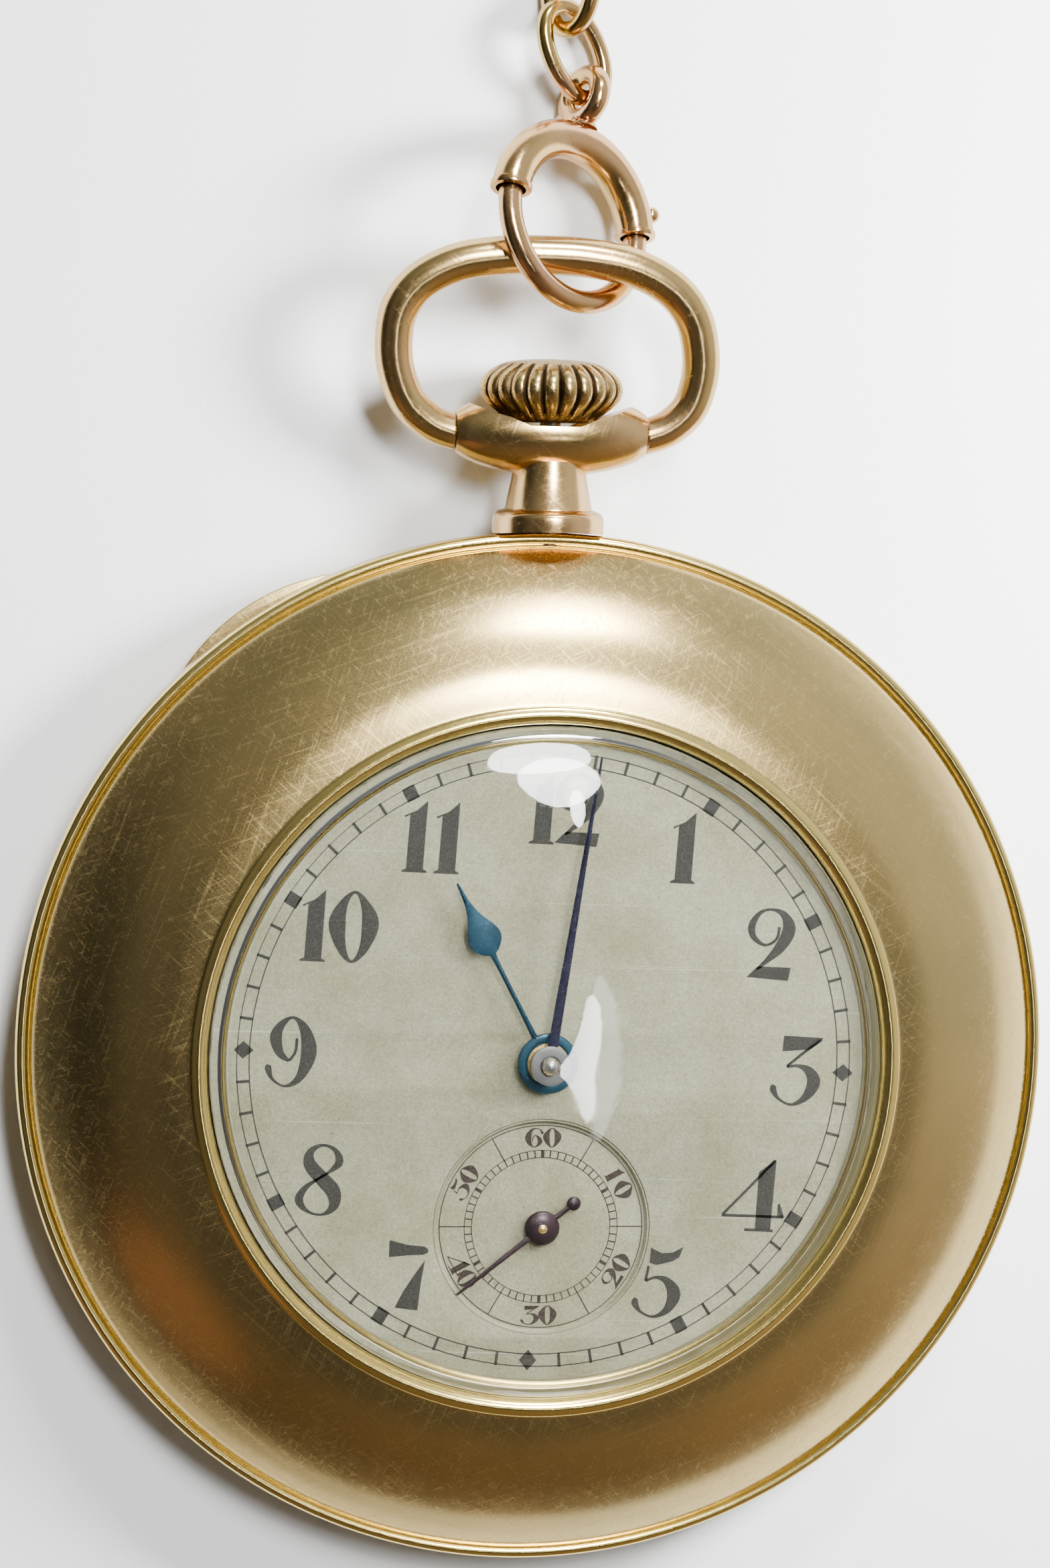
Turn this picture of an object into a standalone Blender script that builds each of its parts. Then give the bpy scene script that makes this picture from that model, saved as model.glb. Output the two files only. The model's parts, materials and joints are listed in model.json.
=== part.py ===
"""An open face pocket watch with its movement, bow, bolt ring and the first two links of its chain.

The watch lies on its back: +Z points out of the dial, +Y to twelve o'clock and the crown, +X to three
o'clock. The origin is the centre of the flat on the back cover. The numbers below are millimetres, and
every mesh is made in metres through MM.
"""

import math

import bmesh
import bpy
from mathutils import Matrix, Vector

MM = 0.001
TURN = 2 * math.pi

# Case, as radii and heights above the table
CASE_RADIUS = 25.0
BAND_RADIUS = 24.85
BAND_LOW = 2.05
BAND_HIGH = 3.95
SKIRT_RADIUS = 24.6
SKIRT_LOW = 3.55
TENON_RADIUS = 0.75
OPENING_RADIUS = 16.05
CASE_SEGMENTS = 40
COVER_FLAT_RADIUS = 14.0
COVER_RADIUS = 24.8
COVER_RIM = 2.0
COVER_WALL = 0.45
LIP_ANGLE = math.radians(124)
LIP_HALF_WIDTH = math.radians(12)
LIP_REACH = 25.35
HINGE_ANGLE = math.radians(304)
CUVETTE_RADIUS = 22.75
CUVETTE_FLOOR = 0.95
CUVETTE_FLAT_RADIUS = 15.0
CUVETTE_WALL = 0.25

# Pendant, crown and bow, along +Y at the height of the stem
STEM_HEIGHT = 3.55
ALONG_Y = (-math.pi / 2, 0, 0)
PENDANT_START = 20.0
YOKE_Y = 29.6
YOKE_HALF = 4.6
SADDLE_RADIUS = 9.37
SADDLE_Y = 39.47
CROWN_START = 30.1
CROWN_RIBS = 24
CROWN_RIB_DEPTH = 0.22
BOW_RAISED = math.radians(6.6)
BOW_LEAN = -0.07
BOW_GAP = 0.08

# Movement levels
PLATE_RADIUS = 19.3
PLATE_LOW = 4.4
PLATE_HIGH = 5.9
RIM_LOW = 2.5
RIM_INNER = 17.7
BRIDGE_LOW = 1.75
BRIDGE_HIGH = 2.45
BRIDGE_RADIUS = 19.1
WINDING_LOW = 1.35
WINDING_HIGH = 1.65
DIAL_RADIUS = 18.3
DIAL_LOW = 7.0
DIAL_TOP = 7.4
SUBDIAL_TOP = 7.15
SUBDIAL_RADIUS = 5.1

# Places of the arbors, seen from the dial
CENTRE = (0.0, 0.0)
BARREL = (-6.08, 6.08)
THIRD = (4.34, -4.57)
FOURTH = (0.0, -7.95)
ESCAPE = (-4.04, -11.34)
PALLETS = (-6.29, -9.59)
BALANCE = (-10.4, -6.4)
CROWN_WHEEL = (0.0, 12.6)
MINUTE_WHEEL = (3.12, -1.8)
SETTING_PIVOT = (2.6, 16.7)
CLICK_PIVOT = (-13.3, 3.6)

# Screws that hold the movement in its case
CASE_SCREW_RADIUS = 0.95
CASE_SCREWS = {"case_screw_left": (-16.8, 9.7), "case_screw_right": (18.98, 4.03)}

# Teeth: each is a point and a root, kept apart from its mate by a root deeper than the point is high
ADDENDUM = 0.8
DEDENDUM = 1.35
WHEEL_TEETH = {"barrel": 80, "centre": 80, "third": 75, "fourth": 80, "minute": 36, "hour": 40}
PINION_LEAVES = {"centre": 10, "third": 10, "fourth": 10, "escape": 8, "cannon": 12, "minute": 10}
RATCHET_TEETH = 36
CROWN_WHEEL_TEETH = 24
WINDING_TEETH = 12
ESCAPE_TEETH = 15
ESCAPE_RADIUS = 2.4
BALANCE_RADIUS = 4.7

# Hands: levels and the angles that they point to, clockwise from twelve
HOUR_HAND_Z = 8.0
MINUTE_HAND_Z = 8.6
SECONDS_HAND_Z = 7.55
HAND_THICKNESS = 0.12
HOUR_HAND_ANGLE = math.radians(-28.0)
MINUTE_HAND_ANGLE = math.radians(8.2)
SECONDS_HAND_ANGLE = math.radians(231.4)

# Bolt ring on the bow: centre, normal and the direction of its zero angle
RING_CENTRE = Vector((0.80, 39.68, 3.83))
RING_NORMAL = Vector((0.55, 0.25, 0.80))
RING_ZERO = Vector((-0.446, 0.894, -0.032))
RING_MAJOR = 3.98
RING_TUBE = 0.95
RING_BORE = 0.72
BOLT_RADIUS = 0.64
TUBE_START = math.radians(-120.6)
TUBE_END = math.radians(49.9)
TRIGGER_ANGLE = math.radians(-105)
BOLT_TRAVEL = math.radians(36)
EYE_ANGLE = math.radians(-38)
EYE_DISTANCE = 6.45
EYE_RADIUS = 1.06
EYE_WIRE = 0.5

# Chain links: half sizes of the centreline and the wire
LINK_HALF_LENGTH = 2.3
LINK_HALF_WIDTH = 1.5
LINK_WIRE = 0.41
LINK_1_START = Vector((0.5, 0.06, -0.25))
LINK_1_ALONG = Vector((-0.44, 0.896, 0.065))
LINK_1_ACROSS = Vector((-0.842, 0.299, 0.40))
LINK_2_ALONG = Vector((0.05, 0.998, -0.03))
LINK_2_START = Vector((0.16, -0.12, 0.28))
LINK_2_ACROSS = Vector((0.6, 0.0, 0.8))
LINK_OVERLAP = 1.02

COLOURS = {
    "gold": ((0.62, 0.45, 0.20), 0.28, 1.0),
    "rose_gold": ((0.66, 0.42, 0.24), 0.25, 1.0),
    "crown_gold": ((0.40, 0.30, 0.13), 0.35, 1.0),
    "crystal": ((0.95, 0.97, 0.96), 0.03, 0.0),
    "dial_silver": ((0.47, 0.45, 0.38), 0.55, 0.6),
    "blued_steel": ((0.02, 0.04, 0.10), 0.25, 1.0),
    "nickel": ((0.62, 0.60, 0.55), 0.3, 1.0),
    "steel": ((0.55, 0.55, 0.56), 0.25, 1.0),
    "brass": ((0.70, 0.52, 0.20), 0.3, 1.0),
    "jewel": ((0.45, 0.02, 0.08), 0.1, 0.0),
}


def clear_scene():
    for thing in list(bpy.data.objects):
        bpy.data.objects.remove(thing, do_unlink=True)


def make_collections():
    made = []
    for name in ("pocket_watch", "cutters"):
        collection = bpy.data.collections.new(name)
        bpy.context.scene.collection.children.link(collection)
        made.append(collection)
    return made


def make_materials():
    made = {}
    for name, (colour, roughness, metallic) in COLOURS.items():
        material = bpy.data.materials.new(name)
        material.use_nodes = True
        shader = material.node_tree.nodes["Principled BSDF"]
        shader.inputs["Base Color"].default_value = (*colour, 1.0)
        shader.inputs["Roughness"].default_value = roughness
        shader.inputs["Metallic"].default_value = metallic
        made[name] = material
    return made


clear_scene()
WATCH, CUTTERS = make_collections()
MATERIALS = make_materials()


# ---------------------------------------------------------------- helpers


def polar(radius, angle, centre=(0.0, 0.0)):
    return (centre[0] + radius * math.cos(angle), centre[1] + radius * math.sin(angle))


def circle(radius, count, centre=(0.0, 0.0)):
    return [polar(radius, TURN * i / count, centre) for i in range(count)]


def arc(radius, start, end, count, centre=(0.0, 0.0)):
    return [polar(radius, start + (end - start) * i / (count - 1), centre) for i in range(count)]


def place(thing, material, location=(0, 0, 0), rotation=(0, 0, 0)):
    """Put a new object in the watch, or among the cutters when it has no material."""
    if material is None:
        CUTTERS.objects.link(thing)
        thing.hide_render = True
        thing.display_type = "WIRE"
    else:
        WATCH.objects.link(thing)
        thing.data.materials.append(MATERIALS[material])
    thing.location = Vector(location) * MM
    thing.rotation_euler = rotation
    return thing


def turned(name, profile, material, segments=24, location=(0, 0, 0), rotation=(0, 0, 0)):
    """A turned piece: (radius, height) pairs, down the outer side, closed unless they end on the axis."""
    mesh = bpy.data.meshes.new(name)
    points = [(radius * MM, 0.0, height * MM) for radius, height in profile]
    edges = [(i, i + 1) for i in range(len(points) - 1)]
    if profile[0][0] > 0 and profile[-1][0] > 0:
        edges.append((len(points) - 1, 0))
    mesh.from_pydata(points, edges, [])
    thing = place(bpy.data.objects.new(name, mesh), material, location, rotation)
    screw = thing.modifiers.new("turn", "SCREW")
    screw.axis = "Z"
    screw.angle = TURN
    screw.steps = segments
    screw.render_steps = segments
    screw.use_merge_vertices = True
    screw.merge_threshold = 0.000001
    return thing


def from_curve(name, curve, material, location=(0, 0, 0), rotation=(0, 0, 0)):
    """Make a mesh object of a curve drawn in millimetres, with its caps welded."""
    guide = bpy.data.objects.new(name + "_guide", curve)
    CUTTERS.objects.link(guide)
    bpy.context.view_layer.update()
    evaluated = guide.evaluated_get(bpy.context.evaluated_depsgraph_get())
    mesh = bpy.data.meshes.new_from_object(evaluated)
    bpy.data.objects.remove(guide, do_unlink=True)
    mesh.materials.clear()
    mesh.name = name
    solid = bmesh.new()
    solid.from_mesh(mesh)
    bmesh.ops.remove_doubles(solid, verts=solid.verts, dist=0.001)
    bmesh.ops.scale(solid, vec=(MM, MM, MM), verts=solid.verts)
    bmesh.ops.recalc_face_normals(solid, faces=solid.faces)
    solid.to_mesh(mesh)
    solid.free()
    return place(bpy.data.objects.new(name, mesh), material, location, rotation)


def plate(name, outlines, low, high, material, location=(0, 0, 0), rotation=(0, 0, 0)):
    """A flat piece between two heights: the first outline is its edge, the others are holes."""
    curve = bpy.data.curves.new(name, "CURVE")
    curve.dimensions = "2D"
    curve.fill_mode = "BOTH"
    curve.extrude = (high - low) / 2
    for outline in outlines:
        spline = curve.splines.new("POLY")
        spline.points.add(len(outline) - 1)
        for point, (x, y) in zip(spline.points, outline):
            point.co = (x, y, 0.0, 1.0)
        spline.use_cyclic_u = True
    x, y, z = location
    return from_curve(name, curve, material, (x, y, z + (low + high) / 2), rotation)


def wire(name, points, radius, material, cyclic=False, resolution=2, tapers=None, **put):
    """A round wire along points in millimetres."""
    curve = bpy.data.curves.new(name, "CURVE")
    curve.dimensions = "3D"
    curve.bevel_depth = radius
    curve.bevel_resolution = resolution
    curve.use_fill_caps = True
    spline = curve.splines.new("POLY")
    spline.points.add(len(points) - 1)
    for i, (point, place_at) in enumerate(zip(spline.points, points)):
        point.co = (*place_at, 1.0)
        point.radius = tapers[i] if tapers else 1.0
    spline.use_cyclic_u = cyclic
    return from_curve(name, curve, material, **put)


def rod(name, start, end, radius, material=None, sides=16):
    """A cylinder between two points."""
    start, end = Vector(start) * MM, Vector(end) * MM
    along = end - start
    turn = Vector((0, 0, 1)).rotation_difference(along).to_matrix().to_4x4()
    turn = turn @ Matrix.Rotation(math.pi / sides, 4, "Z")
    solid = bmesh.new()
    bmesh.ops.create_cone(
        solid,
        cap_ends=True,
        segments=sides,
        radius1=radius * MM,
        radius2=radius * MM,
        depth=along.length,
        matrix=Matrix.Translation((start + end) / 2) @ turn,
    )
    mesh = bpy.data.meshes.new(name)
    solid.to_mesh(mesh)
    solid.free()
    return place(bpy.data.objects.new(name, mesh), material)


def block(name, low, high, material=None, turn=0.0):
    """A box between two corners, turned about the watch's axis."""
    low, high = Vector(low) * MM, Vector(high) * MM
    solid = bmesh.new()
    bmesh.ops.create_cube(solid, size=1.0)
    bmesh.ops.scale(solid, vec=high - low, verts=solid.verts)
    bmesh.ops.translate(solid, vec=(low + high) / 2, verts=solid.verts)
    mesh = bpy.data.meshes.new(name)
    solid.to_mesh(mesh)
    solid.free()
    return place(bpy.data.objects.new(name, mesh), material, rotation=(0, 0, turn))


def loft(name, rings, material, location=(0, 0, 0), rotation=(0, 0, 0)):
    """A closed skin over rings of equal counts, with a flat cap on the first and the last."""
    solid = bmesh.new()
    rows = [[solid.verts.new(Vector(point) * MM) for point in ring] for ring in rings]
    count = len(rows[0])
    for lower, upper in zip(rows, rows[1:]):
        for i in range(count):
            j = (i + 1) % count
            solid.faces.new((lower[i], lower[j], upper[j], upper[i]))
    solid.faces.new(list(reversed(rows[0])))
    solid.faces.new(rows[-1])
    bmesh.ops.recalc_face_normals(solid, faces=solid.faces)
    mesh = bpy.data.meshes.new(name)
    solid.to_mesh(mesh)
    solid.free()
    return place(bpy.data.objects.new(name, mesh), material, location, rotation)


def combine(target, other, operation):
    step = target.modifiers.new(operation.lower(), "BOOLEAN")
    step.operation = operation
    step.solver = "EXACT"
    step.object = other


def cut(target, *others):
    for other in others:
        combine(target, other, "DIFFERENCE")


def join(target, *others):
    for other in others:
        combine(target, other, "UNION")


# ---------------------------------------------------------------- outlines


def gear_outline(teeth, pitch_radius, phase=0.0):
    """Pointed teeth, with one tooth centred at the phase angle."""
    module = 2 * pitch_radius / teeth
    points = []
    for i in range(teeth):
        angle = phase + TURN * i / teeth
        points.append(polar(pitch_radius + ADDENDUM * module, angle))
        points.append(polar(pitch_radius - DEDENDUM * module, angle + TURN / teeth / 2))
    return points


def saw_outline(teeth, tip_radius, root_radius, phase=0.0):
    """Teeth that lean one way, as on a ratchet or an escape wheel."""
    points = []
    for i in range(teeth):
        angle = phase + TURN * i / teeth
        points.append(polar(tip_radius, angle))
        points.append(polar(root_radius, angle + 0.12 * TURN / teeth))
    return points


def windows(count, inner, outer, spoke, start=0.0):
    """The openings between a wheel's spokes."""
    openings = []
    for i in range(count):
        middle = start + TURN * (i + 0.5) / count
        half = TURN / count / 2
        out = half - spoke / outer / 2
        into = half - spoke / inner / 2
        edge = arc(outer, middle - out, middle + out, 5)
        edge += arc(inner, middle + into, middle - into, 2)
        openings.append(edge)
    return openings


def towards(start, end):
    return math.atan2(end[1] - start[1], end[0] - start[0])


def span(start, end):
    return math.hypot(end[0] - start[0], end[1] - start[1])


def pitch_radii(wheel, wheel_teeth, pinion, pinion_teeth):
    """Pitch radii of a meshing pair, from the distance between their arbors."""
    distance = span(wheel, pinion)
    total = wheel_teeth + pinion_teeth
    return distance * wheel_teeth / total, distance * pinion_teeth / total


# ---------------------------------------------------------------- case


def band():
    profile = [
        (23.4, 4.65), (23.4, BAND_HIGH), (SKIRT_RADIUS, BAND_HIGH), (SKIRT_RADIUS, SKIRT_LOW),
        (BAND_RADIUS, SKIRT_LOW), (BAND_RADIUS, 2.3), (24.6, BAND_LOW), (21.6, BAND_LOW),
        (21.6, 2.45), (19.5, 2.45), (19.5, BAND_HIGH), (22.4, BAND_HIGH), (22.4, 4.65),
    ]
    piece = turned("case_band", profile, "gold", CASE_SEGMENTS)
    hole_start, hole_end = (0, 18.5, STEM_HEIGHT), (0, 26, STEM_HEIGHT)
    cut(piece, rod("pendant_hole", hole_start, hole_end, TENON_RADIUS + 0.05, sides=12))
    return piece


def bezel():
    """A convex band between a rounded lip and a bead, with a skirt that covers the edge of the band."""
    face = [(16.1, 8.35), (16.7, 8.68), (17.3, 8.4), (18.9, 8.0), (20.5, 7.3), (22.0, 6.35), (23.3, 5.3)]
    bead = [(24.25, 4.45), (24.6, 4.45), (24.9, 4.25), (CASE_RADIUS, 4.05), (CASE_RADIUS, 3.7)]
    skirt_low = SKIRT_LOW + 0.05
    skirt_inner = SKIRT_RADIUS + 0.05
    ledge = BAND_HIGH + 0.04
    skirt = [(24.9, skirt_low), (skirt_inner, skirt_low), (skirt_inner, ledge), (23.45, ledge)]
    under = [(23.45, 4.72), (21.2, 6.25), (18.9, 7.38), (18.5, 7.5), (OPENING_RADIUS, 7.5)]
    piece = turned("bezel", face + bead + skirt + under, "gold", CASE_SEGMENTS)
    cut(piece, rod("tenon_room", (0, 22.8, STEM_HEIGHT), (0, 26, STEM_HEIGHT), TENON_RADIUS + 0.1, sides=12))


def crystal():
    """A low dome with a steep edge, let into the bezel's opening."""
    profile = [
        (0.0, 10.3), (8.0, 10.05), (14.0, 9.5), (15.75, 9.0), (16.0, 8.6), (16.0, 8.0),
        (15.5, 8.0), (15.3, 8.65), (13.5, 9.1), (7.5, 9.55), (0.0, 9.75),
    ]
    turned("crystal", profile, "crystal", CASE_SEGMENTS)


def dial_ring():
    profile = [(16.0, 7.95), (16.0, 7.45), (15.6, 7.45), (15.5, 7.6), (15.75, 7.95)]
    turned("dial_ring", profile, "gold", CASE_SEGMENTS)


def dished(flat_radius, radius, rim, floor, steps):
    """A quarter ellipse from a flat floor out and up to a rim."""
    points = []
    for i in range(steps + 1):
        angle = math.pi / 2 * i / steps
        reach = flat_radius + (radius - flat_radius) * math.sin(angle)
        points.append((reach, rim - (rim - floor) * math.cos(angle)))
    return points


def back_cover():
    inner = dished(COVER_FLAT_RADIUS, COVER_RADIUS - 0.5, COVER_RIM, COVER_WALL, 4)
    outer = dished(COVER_FLAT_RADIUS, COVER_RADIUS, COVER_RIM, 0.0, 5)
    profile = [(0.0, COVER_WALL)] + inner + outer[::-1] + [(0.0, 0.0)]
    piece = turned("back_cover", profile, "gold", CASE_SEGMENTS)
    start, end = LIP_ANGLE - LIP_HALF_WIDTH, LIP_ANGLE + LIP_HALF_WIDTH
    edge = []
    for i in range(9):
        share = i / 8
        reach = 24.5 + (LIP_REACH - 24.5) * math.sin(math.pi * share)
        edge.append(polar(reach, start + (end - start) * share))
    edge += arc(24.4, end, start, 4)
    join(piece, plate("thumb_lip", [edge], 1.6, 1.93, None))
    return piece


def cuvette():
    shell = dished(CUVETTE_FLAT_RADIUS, 22.0, 1.7, CUVETTE_FLOOR, 3)
    floor = dished(CUVETTE_FLAT_RADIUS, 21.8, 2.0, CUVETTE_FLOOR + CUVETTE_WALL, 3)
    profile = [(0.0, CUVETTE_FLOOR + CUVETTE_WALL)] + floor
    profile += [(CUVETTE_RADIUS, 2.0), (CUVETTE_RADIUS, 1.7)] + shell[::-1]
    profile += [(0.0, CUVETTE_FLOOR)]
    return turned("cuvette", profile, "gold", CASE_SEGMENTS)


def hinge(fixed, moving, name, radius, height, knuckle, pin_radius, half):
    """A three-knuckle hinge across the hinge angle: the middle knuckle is the fixed piece's."""
    outward = Vector((math.cos(HINGE_ANGLE), math.sin(HINGE_ANGLE), 0))
    along = Vector((-outward.y, outward.x, 0))
    middle = outward * radius + Vector((0, 0, height))
    third = half / 3
    clear = 0.06

    def stretch(label, start, end, size):
        return rod(f"{name}_{label}", middle + along * start, middle + along * end, size, sides=12)

    cut(fixed, stretch("left_room", -half - clear, -third + clear, knuckle + clear))
    cut(fixed, stretch("right_room", third - clear, half + clear, knuckle + clear))
    cut(moving, stretch("middle_room", -third - clear, third + clear, knuckle + clear))
    join(fixed, stretch("middle_knuckle", -third, third, knuckle))
    join(moving, stretch("left_knuckle", 0.03 - half, -third - clear - 0.02, knuckle))
    join(moving, stretch("right_knuckle", third + clear + 0.02, half - 0.03, knuckle))
    bore = stretch("bore", -half - 1, half + 1, pin_radius + 0.03)
    cut(fixed, bore)
    cut(moving, bore)
    pin_start = middle - along * (half - 0.1)
    pin_end = middle + along * (half - 0.1)
    rod(name, pin_start, pin_end, pin_radius, "gold", sides=12)


def pendant():
    """The neck that carries the yoke, with a tenon through the band and a bore for the stem."""
    profile = [
        (1.62, 28.3), (1.7, 27.86), (2.06, 25.98), (2.35, 25.9), (2.62, 25.62), (2.65, 24.6),
        (TENON_RADIUS, 24.6), (TENON_RADIUS, PENDANT_START), (0.56, PENDANT_START), (0.56, 28.3),
    ]
    piece = turned("pendant", profile, "gold", 24, (0, 0, STEM_HEIGHT), ALONG_Y)
    seat = rod("pendant_seat", (0, 0, -2), (0, 0, 9), CASE_RADIUS + 0.08, sides=CASE_SEGMENTS * 2)
    tenon = rod("pendant_tenon", (0, PENDANT_START, STEM_HEIGHT), (0, 26.5, STEM_HEIGHT), TENON_RADIUS)
    bore = rod("pendant_bore", (0, 18, STEM_HEIGHT), (0, 29, STEM_HEIGHT), 0.56)
    cut(piece, seat)
    join(piece, tenon)
    cut(piece, bore)


def bow_yoke():
    """A boat-shaped holder: the bow pivots in its ends, and the crown sits in its saddle."""
    steps = 5
    half = []
    for i in range(steps + 1):
        share = i / steps
        half.append((0.93 + 1.07 * math.cos(math.pi / 2 * share) ** 0.85, -YOKE_HALF * share))
    profile = [(0.0, YOKE_HALF)] + [(r, -h) for r, h in half[:0:-1]] + half + [(0.0, -YOKE_HALF)]
    piece = turned("bow_yoke", profile, "gold", 24, (0, YOKE_Y, STEM_HEIGHT), (0, math.pi / 2, 0))
    saddle = rod("saddle", (0, SADDLE_Y, -2), (0, SADDLE_Y, 9), SADDLE_RADIUS, sides=72)
    room = [(0.0, 31.4), (3.95, 31.4), (2.25, 29.95), (0.0, 29.95)]
    recess = turned("crown_room", room, None, 24, (0, 0, STEM_HEIGHT), ALONG_Y)
    neck = [(0.0, 28.35), (1.66, 28.35), (1.76, 27.8), (2.2, 25.5), (0.0, 25.5)]
    socket = turned("neck_room", neck, None, 24, (0, 0, STEM_HEIGHT), ALONG_Y)
    bore = rod("yoke_bore", (0, 27, STEM_HEIGHT), (0, 31, STEM_HEIGHT), 0.62)
    cut(piece, saddle, recess, socket, bore)
    for side in (-1, 1):
        inner = (side * 3.5, YOKE_Y, STEM_HEIGHT)
        outer = (side * 5.5, YOKE_Y, STEM_HEIGHT)
        cut(piece, rod(f"bow_hole_{side}", inner, outer, 0.5))
    return piece


def crown():
    """Ribs that run down from a smooth top over the widest part to a narrow foot."""
    outline = [
        (1.95, 0.0), (2.6, 0.5), (3.3, 1.15), (3.42, 1.6), (3.25, 2.15), (2.6, 2.7),
        (1.4, 2.97), (0.5, 3.03),
    ]
    rings = []
    count = CROWN_RIBS * 2
    for radius, height in outline:
        depth = CROWN_RIB_DEPTH * min(1.0, radius / 3.0) if radius > 1.4 else 0.0
        ring = []
        for i in range(count):
            reach = radius - (depth if i % 2 else 0.0)
            ring.append((*polar(reach, TURN * i / count), height))
        rings.append(ring)
    piece = loft("crown", rings, "crown_gold", (0, CROWN_START, STEM_HEIGHT), ALONG_Y)
    cut(piece, rod("crown_bore", (0, 29, STEM_HEIGHT), (0, 31.9, STEM_HEIGHT), 0.54))


def smooth_path(points, steps):
    """Points along a Catmull-Rom curve through the given ones."""
    path = []
    padded = [points[0]] + points + [points[-1]]
    for a, b, c, d in zip(padded, padded[1:], padded[2:], padded[3:]):
        for i in range(steps):
            t = i / steps
            blend = [
                0.5 * (2 * q + (r - p) * t + (2 * p - 5 * q + 4 * r - s) * t * t
                       + (3 * q - p - 3 * r + s) * t ** 3)
                for p, q, r, s in zip(a, b, c, d)
            ]
            path.append(tuple(blend))
    return path + [points[-1]]


def bow():
    half = [
        (3.9, -0.12), (4.8, 0.02), (5.8, 0.45), (6.78, 1.4), (7.32, 2.9), (7.38, 4.35),
        (7.02, 5.8), (6.0, 7.05), (4.2, 7.98), (2.0, 8.37), (0.0, 8.44),
    ]
    whole = half + [(-x, y) for x, y in half[-2::-1]]
    path = [(x + BOW_LEAN * y, y, 0.0) for x, y in smooth_path(whole, 2)]
    tapers = [0.86 + 0.09 * math.sin(math.pi * i / (len(path) - 1)) for i in range(len(path))]
    at = {"location": (0, YOKE_Y, STEM_HEIGHT), "rotation": (BOW_RAISED, 0, 0)}
    piece = wire("bow", path, 1.0, "gold", resolution=2, tapers=tapers, **at)
    face = YOKE_HALF + BOW_GAP
    cut(piece, block("bow_end_room", (-face, YOKE_Y - 2, 0), (face, YOKE_Y + 2, 7)))
    for side in (-1, 1):
        inner = (side * 3.7, YOKE_Y, STEM_HEIGHT)
        outer = (side * 5.3, YOKE_Y, STEM_HEIGHT)
        join(piece, rod(f"bow_pivot_{side}", inner, outer, 0.45))
    return piece


def winding_stem():
    profile = [
        (0.0, 31.8), (0.5, 31.8), (0.5, 17.05), (0.28, 17.05), (0.28, 16.35), (0.5, 16.35),
        (0.5, 12.6), (0.0, 12.6),
    ]
    turned("winding_stem", profile, "steel", 16, (0, 0, STEM_HEIGHT), ALONG_Y)


# ---------------------------------------------------------------- movement


def main_plate():
    profile = [
        (PLATE_RADIUS, PLATE_HIGH), (PLATE_RADIUS, RIM_LOW), (RIM_INNER, RIM_LOW),
        (RIM_INNER, PLATE_LOW), (0.75, PLATE_LOW), (0.75, PLATE_HIGH),
    ]
    piece = turned("main_plate", profile, "brass", 48)
    cut(piece, rod("stem_room", (0, 16, STEM_HEIGHT), (0, 21, STEM_HEIGHT), 0.95))
    cut(piece, block("pinion_room", (-2.0, 12.4, 4.0), (2.0, 17.2, 5.6)))
    holes = {
        "fourth": (FOURTH, 0.3, 7.0), "barrel": (BARREL, 0.45, 5.15),
        "third": (THIRD, 0.2, 5.1), "escape": (ESCAPE, 0.2, 5.1), "pallets": (PALLETS, 0.2, 5.1),
        "balance": (BALANCE, 0.22, 5.1),
    }
    for name, ((x, y), radius, top) in holes.items():
        cut(piece, rod(f"{name}_hole", (x, y, 4.0), (x, y, top), radius, sides=12))
    x, y = SETTING_PIVOT
    cut(piece, rod("setting_lever_hole", (x, y, 4.0), (x, y, 5.2), 0.25, sides=12))
    x, y = MINUTE_WHEEL
    cut(piece, rod("minute_wheel_hole", (x, y, 5.2), (x, y, 7.0), 0.25, sides=12))


def barrel_bridge():
    edge = arc(BRIDGE_RADIUS, math.radians(6), math.radians(175), 30)
    edge += [(-10.0, 1.1), (-2.6, 2.3), (10.0, 2.3)]
    piece = plate("barrel_bridge", [edge], BRIDGE_LOW, BRIDGE_HIGH, "nickel")
    holes = {"barrel": (BARREL, 0.95), "crown_wheel": (CROWN_WHEEL, 0.5)}
    holes.update({name: (place_at, CASE_SCREW_RADIUS + 0.1) for name, place_at in CASE_SCREWS.items()})
    for name, ((x, y), radius) in holes.items():
        cut(piece, rod(f"bridge_{name}_hole", (x, y, 1), (x, y, 3), radius))
    cut(piece, block("bridge_pinion_room", (-2.0, 14.7, 1.0), (2.0, 16.5, 3.0)))


def train_bridge():
    edge = arc(BRIDGE_RADIUS, math.radians(-115), math.radians(3), 22)
    edge += [(10.0, 1.9), (1.2, 1.9), (-1.6, 1.0), (-2.4, -5.4), (-5.2, -8.4), (-7.3, -9.2), (-7.2, -11.0)]
    piece = plate("train_bridge", [edge], BRIDGE_LOW, BRIDGE_HIGH, "nickel")
    for name, (x, y) in (("third", THIRD), ("escape", ESCAPE)):
        cut(piece, rod(f"bridge_{name}_hole", (x, y, 1), (x, y, 3), 0.72, sides=16))
    for name, (x, y) in (("centre", CENTRE), ("fourth", FOURTH), ("pallets", PALLETS)):
        cut(piece, rod(f"bridge_{name}_hole", (x, y, 1), (x, y, 3), 0.22, sides=12))


def balance_cock():
    reach = towards((0, 0), BALANCE)
    ordered = arc(BRIDGE_RADIUS, reach - 0.2, reach + 0.2, 7)
    tip = [polar(1.7, reach + math.pi / 2 + math.pi * i / 8, BALANCE) for i in range(9)]
    piece = plate("balance_cock", [ordered + tip], BRIDGE_LOW, BRIDGE_HIGH, "nickel")
    x, y = BALANCE
    cut(piece, rod("cock_hole", (x, y, 1), (x, y, 3), 0.72, sides=16))


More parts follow.
